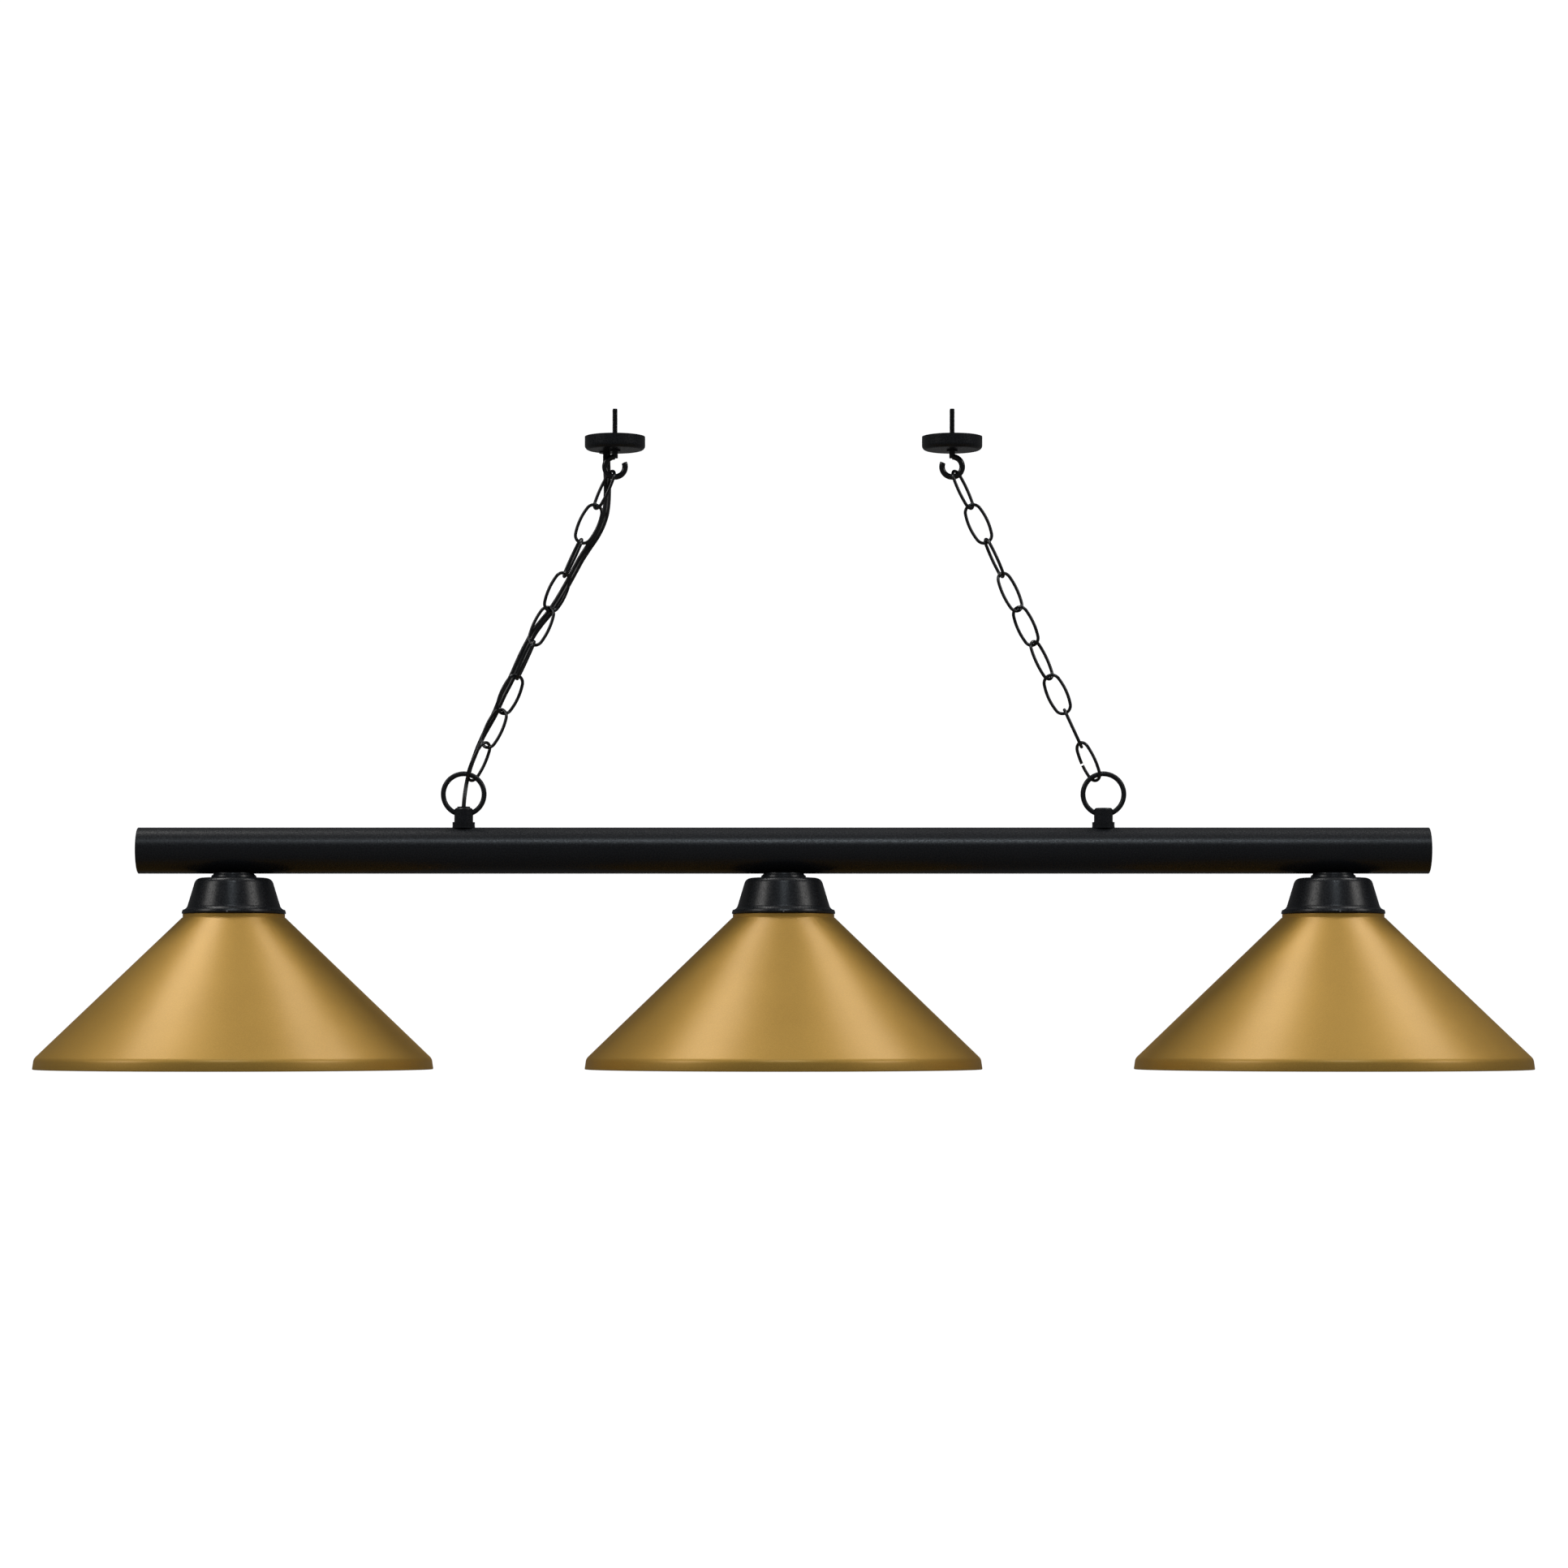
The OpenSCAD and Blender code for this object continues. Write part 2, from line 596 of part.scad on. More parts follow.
module socket(x) color(phenolic) at_light(x) difference() {
    union() {
        translate([0, 0, -socket_top - hub_h]) cylinder(r = hub_r, h = hub_h);
        translate([0, 0, -socket_top - hub_h - socket_cone_h])
            cylinder(r1 = socket_r, r2 = hub_r, h = socket_cone_h);
        translate([0, 0, -socket_low]) cylinder(r = socket_r, h = socket_h - hub_h - socket_cone_h);
        translate([0, 0, -plate_top]) cylinder(r = shoulder_flange_r, h = shoulder_flange_h);
    }
    translate([0, 0, -socket_top - hub_h]) cylinder(r = thread_r, h = hub_h + over);
    translate([0, 0, -cavity_top - over])
        cylinder(r = wire_room_r, h = cavity_top - socket_top - hub_h + 2 * over);
    translate([0, 0, -socket_low - over])
        cylinder(r = shell_r + thread_play, h = socket_low - cavity_top + over);
}

// The brass shell that the bulb screws into, with its terminal strap
module screw_shell(x) color(brass_colour) at_light(x) {
    difference() {
        translate([0, 0, -shell_low]) cylinder(r = shell_r, h = shell_h);
        translate([0, 0, -shell_low - over])
            cylinder(r = shell_r - shell_wall, h = shell_h - shell_wall + over);
        translate([0, 0, -shell_low]) cylinder(r = strap_r + strap_gap, h = shell_h + over);
    }
    translate([-post_r, -strap_r - strap_long, -shell_top - shell_wall])
        cube([2 * post_r, strap_long, shell_wall]);
    translate([0, -strap_r, -shell_top - shell_wall])
        cylinder(r = post_r, h = shell_top + shell_wall - lead_low, $fn = 24);
}

module socket_contacts() color(brass_colour) for (x = light_x) at_light(x) {
    translate([0, 0, -base_top + contact_tip + contact_play])
        cylinder(r = contact_r, h = base_top - contact_tip - contact_play - cavity_top);
    translate([0, wire_pair, -cavity_top - post_root])
        cylinder(r = post_r, h = cavity_top + post_root - lead_low, $fn = 24);
}

// A hollow screw base with its insulating cone and contact
module bulb_base(x) color(zinc) at_light(x) difference() {
    union() {
        translate([0, 0, -base_top - base_h]) cylinder(r = base_r, h = base_h - base_cone);
        translate([0, 0, -base_top - base_cone])
            cylinder(r1 = base_r, r2 = contact_r + 1.5, h = base_cone + base_collar);
        translate([0, 0, -base_top + base_collar]) cylinder(r = contact_r + 1, h = contact_tip - base_collar);
    }
    translate([0, 0, -base_top - base_h - over])
        cylinder(r = bulb_neck_r + thread_play, h = base_h - base_crown + over);
}

// A globe and the cone that joins it to the base, w inside the glass's outer face
module bulb_solid(w) {
    globe_z = -bulb_low + bulb_d / 2;
    globe_r = bulb_d / 2;
    cone_high = -base_top - base_h - 1 - w;
    cone_low = globe_z + globe_r * sin(cone_turn);
    translate([0, 0, globe_z]) sphere(r = globe_r - w, $fn = 96);
    translate([0, 0, cone_low])
        cylinder(r1 = globe_r * cos(cone_turn) - cone_step - w, r2 = base_r - w, h = cone_high - cone_low);
}

module bulb_glass(x) color(frosted) at_light(x) difference() {
    union() {
        bulb_solid(0);
        translate([0, 0, -base_top - base_h - 2]) cylinder(r = bulb_neck_r, h = bulb_neck_h + 2);
    }
    bulb_solid(bulb_wall);
    translate([0, 0, -base_top - base_h - 4])
        cylinder(r = bulb_neck_r - bulb_wall, h = bulb_neck_h + 4 + over);
}

// ---- Wiring inside the bar ----

module wire(route) {
    swept(route, wire_d / 2, 8);
}

// The four black wires, or mirrored in Y the four white ones, as hand-laid routes
// that start at a contact or the cord and end side by side in a wire nut
module leads() {
    y = wire_pair;
    inner = nut_y - wire_lay;
    outer = nut_y + wire_lay;
    upper = nut_z + wire_lay;
    lower = nut_z - wire_lay;
    nut_end = nut_x + nut_long / 2;
    far = light_spacing;
    loop_x = -loop_spacing / 2;
    on_bar() {
        wire([
            [-far, y, -lead_low], [-far, y, -16], [-far + 1.5, y, -10], [-far + 6, 3, -6.5],
            [-far + 16, 5.4, lower - 0.4], [nut_x - 12, inner, lower], [nut_end, inner, lower]
        ]);
        wire([
            [0, y, -lead_low], [0, y, -16], [-1.5, 1.8, -10], [-6, 5, -5], [-16, 11, -1],
            [-30, 14, 0], [nut_x - 4, 14, 0], [nut_x - 12, 13.4, -0.4], [nut_x - 16, 11, -1.2],
            [nut_x - 12, outer + 0.4, upper], [nut_x - 5, outer, upper], [nut_end, outer, upper]
        ]);
        wire([
            [far, y, -lead_low], [far, y, -16], [far - 1.5, 1.8, -10], [far - 6, 5, -7],
            [far - 16, 10, -8], [far - 30, 12.5, -9], [nut_x - 8, 12.5, -9], [nut_x - 20, 12, -8],
            [nut_x - 24, 10.4, -6], [nut_x - 20, outer + 0.4, lower],
            [nut_x - 10, outer, lower], [nut_end, outer, lower]
        ]);
        wire([
            [loop_x, y, supply_top], [loop_x, y, 9], [loop_x + 1.5, 2, 4], [loop_x + 5, 3.6, 0.5],
            [nut_x - 14, 5.2, upper + 0.6], [nut_x - 8, inner, upper], [nut_end, inner, upper]
        ]);
    }
}

module leads_black() color(cord_black) leads();

module leads_white() color(wire_white) mirror([0, 1, 0]) leads();

module wire_nuts() color(nut_yellow) on_bar() for (side = [left, right])
    translate([nut_x, side * nut_y, nut_z]) rotate([0, 90, 0]) difference() {
        cylinder(r1 = wire_nut_r, r2 = wire_nut_tip_r, h = nut_long);
        translate([0, 0, -over])
            cylinder(r1 = wire_nut_bore, r2 = wire_nut_bore - 0.6, h = nut_long - wire_nut_tip_r + over);
    }

ceiling_plate(left);  // ceiling_plate_left
ceiling_plate(right);  // ceiling_plate_right
hook(left);  // hook_left
hook(right);  // hook_right
hook_nuts();
cord_grommet();
for (n = [1:links]) {
    chain_link(left, n);
    chain_link(right, n);
}
power_cord();
cord_bushing();
bar_tube();
end_cap(left);  // end_cap_left
end_cap(right);  // end_cap_right
loop(left);  // loop_left
loop(right);  // loop_right
loop_nipples();
loop_nuts();
loop_lock_rings();
seat_rings();
for (i = [0:2]) {
    place = ["left", "centre", "right"][i];
    holder(light_x[i]);
    socket(light_x[i]);
    screw_shell(light_x[i]);
    shade(light_x[i]);
    bulb_glass(light_x[i]);
    bulb_base(light_x[i]);
}
holder_nipples();
nipple_nuts();
shade_rings();
socket_contacts();
leads_black();
leads_white();
wire_nuts();
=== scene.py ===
"""Looks of a pool table lamp: a straight black bar with three conical shades, hung on two chains.

Everything is in metres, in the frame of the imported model: the origin is on the ceiling midway
between the two hooks, X runs along the bar and +Y points to the back.
"""

import json
import logging
import math
from dataclasses import dataclass, field
from enum import Enum

import bmesh
import bpy
from mathutils import Matrix, Vector
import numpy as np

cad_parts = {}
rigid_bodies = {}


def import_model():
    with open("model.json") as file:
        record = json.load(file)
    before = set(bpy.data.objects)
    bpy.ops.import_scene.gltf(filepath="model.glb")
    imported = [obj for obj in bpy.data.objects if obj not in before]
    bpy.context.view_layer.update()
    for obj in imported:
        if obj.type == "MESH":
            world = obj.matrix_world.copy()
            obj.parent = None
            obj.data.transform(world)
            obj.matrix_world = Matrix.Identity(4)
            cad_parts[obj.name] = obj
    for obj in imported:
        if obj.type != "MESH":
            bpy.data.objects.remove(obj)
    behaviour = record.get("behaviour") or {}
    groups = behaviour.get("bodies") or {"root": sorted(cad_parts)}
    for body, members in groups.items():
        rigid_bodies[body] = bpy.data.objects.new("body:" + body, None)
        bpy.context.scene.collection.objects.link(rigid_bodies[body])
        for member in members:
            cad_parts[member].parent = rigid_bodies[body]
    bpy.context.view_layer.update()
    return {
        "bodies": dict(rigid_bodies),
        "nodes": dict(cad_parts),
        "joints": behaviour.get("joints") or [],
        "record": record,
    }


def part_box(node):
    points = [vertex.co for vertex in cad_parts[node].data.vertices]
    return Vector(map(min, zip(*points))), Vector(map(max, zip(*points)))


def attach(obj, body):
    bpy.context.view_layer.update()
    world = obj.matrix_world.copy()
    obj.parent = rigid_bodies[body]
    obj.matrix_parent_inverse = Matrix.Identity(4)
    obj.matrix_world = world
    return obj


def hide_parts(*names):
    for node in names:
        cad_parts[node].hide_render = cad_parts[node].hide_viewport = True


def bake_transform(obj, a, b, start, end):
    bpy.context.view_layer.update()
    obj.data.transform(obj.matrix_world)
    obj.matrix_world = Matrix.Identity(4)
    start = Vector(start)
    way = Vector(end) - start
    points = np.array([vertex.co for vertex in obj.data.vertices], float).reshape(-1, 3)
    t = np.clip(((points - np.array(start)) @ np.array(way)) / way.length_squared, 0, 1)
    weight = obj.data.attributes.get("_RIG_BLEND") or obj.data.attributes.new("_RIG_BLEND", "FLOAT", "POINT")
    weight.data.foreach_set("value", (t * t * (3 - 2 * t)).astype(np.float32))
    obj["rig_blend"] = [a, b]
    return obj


Colour = tuple[float, float, float]

log = logging.getLogger("pool_lamp")
MM = 0.001
# Distance under which two points of a spun mesh are one
WELD = 1e-7
# The same for bent wire, whose ends meet less exactly
WIRE_WELD = 2e-6


class Side(Enum):
    """The two ends of the lamp, with their sign along X."""

    LEFT = -1
    RIGHT = 1

    @property
    def word(self) -> str:
        """The side's name as the nodes spell it."""
        return self.name.lower()


class Place(Enum):
    """The three lights along the bar."""

    LEFT = "left"
    CENTRE = "centre"
    RIGHT = "right"


# ---- Meshes ----


def arc(centre: tuple[float, float], radius: float, start: float, end: float, steps: int) -> list[Vector]:
    """Points of a round stretch of a turned outline.

    Args:
        centre: Radius and height of the arc's middle.
        radius: Radius of the arc.
        start: Angle of the first point, in degrees from the outward direction.
        end: Angle of the last point.
        steps: Number of stretches between the points.

    Returns:
        The points, with the turning radius as X and the height as Z.
    """
    angles = [math.radians(start + (end - start) * k / steps) for k in range(steps + 1)]
    return [Vector((centre[0] + radius * math.cos(a), 0, centre[1] + radius * math.sin(a))) for a in angles]


def eased(points: list[tuple[float, float, float]], steps: int = 5) -> list[Vector]:
    """An outline whose corners are rounded.

    Args:
        points: Radius, height and fillet of each corner.
        steps: Number of stretches in each fillet.

    Returns:
        The outline's points.
    """
    corners = [Vector((r, 0, z)) for r, z, _ in points]
    line: list[Vector] = []
    for i, corner in enumerate(corners):
        fillet = points[i][2]
        if fillet == 0 or i in (0, len(corners) - 1):
            line.append(corner)
            continue
        back = (corners[i - 1] - corner).normalized()
        on = (corners[i + 1] - corner).normalized()
        half = back.angle(on) / 2
        reach = fillet / math.tan(half)
        middle = corner + (back + on).normalized() * fillet / math.sin(half)
        first, last = corner + back * reach - middle, corner + on * reach - middle
        for k in range(steps + 1):
            line.append(middle + first.slerp(last, k / steps).normalized() * fillet)
    return line


def weld_outwards(bm: bmesh.types.BMesh) -> None:
    """Welds the seams of a spun surface and turns its faces away from the Z axis."""
    bmesh.ops.remove_doubles(bm, verts=bm.verts, dist=WELD)
    bmesh.ops.recalc_face_normals(bm, faces=bm.faces)
    widest = max(bm.faces, key=lambda f: f.calc_center_median().xy.length)
    centre = widest.calc_center_median()
    if widest.normal.dot(Vector((centre.x, centre.y, 0))) < 0:
        bmesh.ops.reverse_faces(bm, faces=bm.faces)


def turned(line: list[Vector], middle: Vector, steps: int) -> bmesh.types.BMesh:
    """Turns an outline a full circle about an upright axis.

    Args:
        line: The outline, with the radius as X and the height over the middle as Z.
        middle: The point of the axis that heights count from.
        steps: Number of stretches round the axis.

    Returns:
        The turned surface, with its faces outwards.
    """
    bm = bmesh.new()
    verts = [bm.verts.new(p) for p in line]
    edges = [bm.edges.new(p) for p in zip(verts, verts[1:])]
    bmesh.ops.spin(bm, geom=verts + edges, cent=(0, 0, 0), axis=(0, 0, 1), angle=math.tau, steps=steps,
                   use_merge=True)
    weld_outwards(bm)
    bmesh.ops.translate(bm, verts=bm.verts, vec=middle)
    return bm


def threaded_rod(radius: float, pitch: float, depth: float, low: Vector, high: Vector) -> bmesh.types.BMesh:
    """A real helical thread along Z, open at both ends, for a rod whose core is added separately.

    Args:
        radius: Outer radius of the thread.
        pitch: Rise of one turn.
        depth: Depth of the groove.
        low: Lower end of the rod's axis.
        high: Upper end of the rod's axis.

    Returns:
        The thread and its core.
    """
    turns = int((high.z - low.z) / pitch)
    steps = 24
    bm = bmesh.new()
    core = radius - depth
    # The core, the crest and the core again, each with its height as a share of the pitch
    shape = [(core, 0.0), (radius, 0.35), (radius, 0.5), (core, 0.85), (core, 1.0)]
    verts = [bm.verts.new((r, 0, share * pitch)) for r, share in shape]
    edges = [bm.edges.new(p) for p in zip(verts, verts[1:])]
    rise = pitch / steps
    bmesh.ops.spin(bm, geom=verts + edges, cent=(0, 0, 0), axis=(0, 0, 1), angle=math.tau * turns,
                   dvec=(0, 0, rise), steps=steps * turns)
    weld_outwards(bm)
    bmesh.ops.translate(bm, verts=bm.verts, vec=low)
    return bm


def add_rod(bm: bmesh.types.BMesh, radius: float, low: Vector, high: Vector, segments: int = 32) -> None:
    """Adds a plain closed rod between two points of a mesh under way."""
    along = high - low
    place = Matrix.Translation((low + high) / 2) @ along.to_track_quat("Z", "Y").to_matrix().to_4x4()
    bmesh.ops.create_cone(bm, cap_ends=True, segments=segments, radius1=radius, radius2=radius,
                          depth=along.length, matrix=place)


def piece(name: str, bm: bmesh.types.BMesh, finish: bpy.types.Material,
          crease: float = 38) -> bpy.types.Object:
    """Makes an object of a mesh, smooth except over its creases.

    Args:
        name: Name of the piece.
        bm: Its mesh, which is used up.
        finish: Its material.
        crease: Angle in degrees over which an edge stays sharp.

    Returns:
        The object, at the origin.
    """
    mesh = bpy.data.meshes.new(name)
    bm.to_mesh(mesh)
    bm.free()
    mesh.shade_smooth()
    mesh.set_sharp_from_angle(angle=math.radians(crease))
    mesh.materials.append(finish)
    obj = bpy.data.objects.new(name, mesh)
    bpy.context.scene.collection.objects.link(obj)
    return obj


def give_wall(obj: bpy.types.Object, wall: float) -> None:
    """Gives a turned sheet its thickness, inwards from its outer face."""
    solid = obj.modifiers.new("wall", "SOLIDIFY")
    solid.thickness = wall
    solid.offset = -1
    solid.use_even_offset = True
    solid.use_quality_normals = True


def settle(obj: bpy.types.Object, body: str, slot: str, *nodes: str) -> None:
    """Puts a finished piece on its body, in place of the plain solids that it stands for."""
    if "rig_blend" not in obj:
        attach(obj, body)
    if nodes:
        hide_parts(*nodes)
    log.info("%s rides on %s in place of %s", obj.name, body, ", ".join(nodes) or "nothing")


# ---- Materials ----

# Scale of the specks in a sprayed coat against its grain, and the noise over which they fade in
SPECK_SCALE = 0.62
SPECK_RANGE = (0.42, 0.68)
# How much the specks pull a coat's tone, on top of its wide patches
SPECK_SHARE = 0.55
# Upward slope over which dust settles, and its colour
DUST_SLOPE = (0.35, 1.0)
DUST_COLOUR = (0.42, 0.41, 0.39)


def set_inputs(node: bpy.types.Node, values: dict[str, float | tuple[float, ...]]) -> None:
    """Sets a node's unlinked inputs by their labels."""
    for label, value in values.items():
        node.inputs[label].default_value = value


def node_group(name: str, inputs: dict[str, float], outputs: list[str]) -> bpy.types.ShaderNodeTree:
    """An empty shader group with a vector input, number inputs and number outputs.

    Args:
        name: Name of the group.
        inputs: Name and default of each number input.
        outputs: Names of the number outputs.

    Returns:
        The group, with its input and output nodes in place.
    """
    group = bpy.data.node_groups.new(name, "ShaderNodeTree")
    group.interface.new_socket("Vector", in_out="INPUT", socket_type="NodeSocketVector")
    for label, value in inputs.items():
        group.interface.new_socket(label, in_out="INPUT", socket_type="NodeSocketFloat").default_value = value
    for label in outputs:
        group.interface.new_socket(label, in_out="OUTPUT", socket_type="NodeSocketFloat")
    group.nodes.new("NodeGroupInput").name = "in"
    group.nodes.new("NodeGroupOutput").name = "out"
    return group


def noise(nodes: bpy.types.Nodes, detail: float, roughness: float = 0.5) -> bpy.types.Node:
    """A noise texture with a set detail."""
    texture = nodes.new("ShaderNodeTexNoise")
    set_inputs(texture, {"Detail": detail, "Roughness": roughness})
    return texture


def product(nodes: bpy.types.Nodes) -> bpy.types.Node:
    """A node that multiplies two numbers."""
    node = nodes.new("ShaderNodeMath")
    node.operation = "MULTIPLY"
    return node


def map_range(nodes: bpy.types.Nodes, end: str, low: float, high: float) -> bpy.types.Node:
    """A node that stretches one range of numbers to another.

    Args:
        nodes: The tree's nodes.
        end: Which range is set, "From" or "To"; the other one is 0 to 1.
        low: The range's lower limit.
        high: Its upper limit.

    Returns:
        The node.
    """
    node = nodes.new("ShaderNodeMapRange")
    node.inputs[f"{end} Min"].default_value = low
    node.inputs[f"{end} Max"].default_value = high
    return node


def colour_mix(nodes: bpy.types.Nodes) -> bpy.types.Node:
    """A node that mixes two colours."""
    node = nodes.new("ShaderNodeMix")
    node.data_type = "RGBA"
    return node


def paint_grain_group() -> bpy.types.ShaderNodeTree:
    """The grain of a sprayed coat: a fine height, small specks and wide, soft patches."""
    group = node_group("PaintGrain", {"Grain Scale": 1500, "Patch Scale": 12},
                       ["Height", "Specks", "Patches"])
    nodes, links = group.nodes, group.links
    source, sink = nodes["in"], nodes["out"]
    fine = noise(nodes, 2.5, 0.6)
    links.new(source.outputs["Vector"], fine.inputs["Vector"])
    links.new(source.outputs["Grain Scale"], fine.inputs["Scale"])
    links.new(fine.outputs["Fac"], sink.inputs["Height"])
    coarser = product(nodes)
    coarser.inputs[1].default_value = SPECK_SCALE
    links.new(source.outputs["Grain Scale"], coarser.inputs[0])
    specks = noise(nodes, 1)
    links.new(source.outputs["Vector"], specks.inputs["Vector"])
    links.new(coarser.outputs[0], specks.inputs["Scale"])
    ramp = map_range(nodes, "From", *SPECK_RANGE)
    links.new(specks.outputs["Fac"], ramp.inputs["Value"])
    links.new(ramp.outputs["Result"], sink.inputs["Specks"])
    wide = noise(nodes, 3)
    links.new(source.outputs["Vector"], wide.inputs["Vector"])
    links.new(source.outputs["Patch Scale"], wide.inputs["Scale"])
    links.new(wide.outputs["Fac"], sink.inputs["Patches"])
    return group


def dust_group() -> bpy.types.ShaderNodeTree:
    """A thin film of dust on what faces up, broken up by a soft noise."""
    group = node_group("SettledDust", {"Amount": 0.1, "Scale": 60}, ["Mask"])
    nodes, links = group.nodes, group.links
    source, sink = nodes["in"], nodes["out"]
    coordinates = nodes.new("ShaderNodeTexCoord")
    split = nodes.new("ShaderNodeSeparateXYZ")
    links.new(coordinates.outputs["Normal"], split.inputs[0])
    upward = map_range(nodes, "From", *DUST_SLOPE)
    links.new(split.outputs["Z"], upward.inputs["Value"])
    cloud = noise(nodes, 4, 0.6)
    links.new(source.outputs["Vector"], cloud.inputs["Vector"])
    links.new(source.outputs["Scale"], cloud.inputs["Scale"])
    film = product(nodes)
    links.new(upward.outputs["Result"], film.inputs[0])
    links.new(cloud.outputs["Fac"], film.inputs[1])
    scaled = product(nodes)
    links.new(film.outputs[0], scaled.inputs[0])
    links.new(source.outputs["Amount"], scaled.inputs[1])
    links.new(scaled.outputs[0], sink.inputs["Mask"])
    return group


@dataclass(frozen=True)
class Finish:
    """A finish of the lamp, from its two tones, its gloss and the size of its grain.

    The edge colour tints its highlights, and on a metal those at a glancing angle.
    """

    name: str
    tone: Colour
    deep: Colour
    metallic: float = 0.0
    edge: Colour = (1.0, 1.0, 1.0)
    specular: float = 0.5
    roughness: tuple[float, float] = (0.35, 0.5)
    coat: float = 0.0
    coat_roughness: float = 0.2
    grain: float = 0.7 * MM
    bump: float = 0.02 * MM
    patch: float = 60 * MM
    dust: float = 0.0
    transmission: float = 0.0
    ior: float = 1.5

    def build(self, groups: dict[str, bpy.types.ShaderNodeTree]) -> bpy.types.Material:
        """Builds the material.

        Args:
            groups: The shader groups that finishes share, by name.

        Returns:
            The material.
        """
        material = bpy.data.materials.new(self.name)
        material.use_nodes = True
        nodes, links = material.node_tree.nodes, material.node_tree.links
        shader = nodes["Principled BSDF"]
        set_inputs(shader, {
            "Metallic": self.metallic,
            "Specular Tint": (*self.edge, 1),
            "Specular IOR Level": self.specular,
            "IOR": self.ior,
            "Coat Weight": self.coat,
            "Coat Roughness": self.coat_roughness,
            "Transmission Weight": self.transmission,
        })
        place = nodes.new("ShaderNodeTexCoord").outputs["Object"]
        grain = nodes.new("ShaderNodeGroup")
        grain.node_tree = groups["grain"]
        set_inputs(grain, {"Grain Scale": 1 / self.grain, "Patch Scale": 1 / self.patch})
        links.new(place, grain.inputs["Vector"])
        tones = colour_mix(nodes)
        set_inputs(tones, {"A": (*self.deep, 1), "B": (*self.tone, 1)})
        blend = nodes.new("ShaderNodeMath")
        blend.operation = "MULTIPLY_ADD"
        blend.use_clamp = True
        blend.inputs[1].default_value = SPECK_SHARE
        links.new(grain.outputs["Specks"], blend.inputs[0])
        links.new(grain.outputs["Patches"], blend.inputs[2])
        links.new(blend.outputs[0], tones.inputs["Factor"])
        colour = tones.outputs["Result"]
        if self.dust:
            dust = nodes.new("ShaderNodeGroup")
            dust.node_tree = groups["dust"]
            dust.inputs["Amount"].default_value = self.dust
            links.new(place, dust.inputs["Vector"])
            dusted = colour_mix(nodes)
            dusted.inputs["B"].default_value = (*DUST_COLOUR, 1)
            links.new(dust.outputs["Mask"], dusted.inputs["Factor"])
            links.new(colour, dusted.inputs["A"])
            colour = dusted.outputs["Result"]
        links.new(colour, shader.inputs["Base Color"])
        gloss = map_range(nodes, "To", *self.roughness)
        links.new(grain.outputs["Specks"], gloss.inputs["Value"])
        links.new(gloss.outputs["Result"], shader.inputs["Roughness"])
        relief = nodes.new("ShaderNodeBump")
        set_inputs(relief, {"Distance": self.bump, "Strength": 1.0})
        links.new(grain.outputs["Height"], relief.inputs["Height"])
        links.new(relief.outputs["Normal"], shader.inputs["Normal"])
        return material


FINISHES = {
    "black_powder": Finish("black powder coat", (0.018, 0.0195, 0.0225), (0.0115, 0.0127, 0.0148),
                           roughness=(0.25, 0.37), specular=0.3, grain=0.9 * MM,
                           bump=0.06 * MM, dust=0.003),
    "cap_black": Finish("moulded black cap", (0.012, 0.012, 0.014), (0.007, 0.007, 0.008),
                        roughness=(0.16, 0.26), grain=1.4 * MM, bump=0.01 * MM),
    "black_enamel": Finish("black chain enamel", (0.007, 0.008, 0.0105), (0.0035, 0.004, 0.005),
                           roughness=(0.2, 0.32), coat=0.3, grain=0.8 * MM, bump=0.012 * MM),
    "gold_paint": Finish("satin gold paint", (0.61, 0.36, 0.072), (0.49, 0.28, 0.05), metallic=0.55,
                         edge=(1.0, 0.8, 0.45), roughness=(0.46, 0.57), coat=0.4, coat_roughness=0.3,
                         grain=0.55 * MM, bump=0.02 * MM, patch=90 * MM, dust=0.015),
    "zinc": Finish("zinc plate", (0.58, 0.59, 0.61), (0.42, 0.43, 0.45), metallic=1.0,
                   roughness=(0.28, 0.42), grain=0.6 * MM, bump=0.006 * MM, patch=9 * MM),
    "phenolic": Finish("moulded phenolic", (0.028, 0.024, 0.022), (0.016, 0.014, 0.013),
                       roughness=(0.3, 0.42), grain=0.5 * MM, bump=0.008 * MM),
    "brass": Finish("pressed brass", (0.74, 0.52, 0.2), (0.6, 0.41, 0.15), metallic=1.0,
                    roughness=(0.22, 0.34), grain=0.6 * MM, bump=0.005 * MM, patch=12 * MM),
    "frosted_glass": Finish("frosted white glass", (0.93, 0.92, 0.88), (0.88, 0.87, 0.83),
                            roughness=(0.22, 0.3), grain=0.8 * MM, bump=0.004 * MM, transmission=0.15),
    "bulb_cap": Finish("rolled bulb cap", (0.7, 0.7, 0.71), (0.55, 0.55, 0.56), metallic=1.0,
                       roughness=(0.25, 0.38), grain=0.5 * MM, bump=0.006 * MM, patch=8 * MM),
    "cord_jacket": Finish("cord jacket", (0.014, 0.0142, 0.0155), (0.009, 0.009, 0.010),
                          roughness=(0.3, 0.42), grain=0.6 * MM, bump=0.01 * MM),
    "wire_black": Finish("black insulation", (0.02, 0.02, 0.02), (0.014, 0.014, 0.014),
                         roughness=(0.3, 0.4), grain=0.5 * MM, bump=0.006 * MM),
    "wire_white": Finish("white insulation", (0.74, 0.73, 0.69), (0.66, 0.65, 0.61),
                         roughness=(0.3, 0.4), grain=0.5 * MM, bump=0.006 * MM),
    "nut_yellow": Finish("moulded yellow", (0.76, 0.5, 0.05), (0.68, 0.43, 0.04),
                         roughness=(0.35, 0.46), grain=0.6 * MM, bump=0.01 * MM),
}


# ---- Cord ----


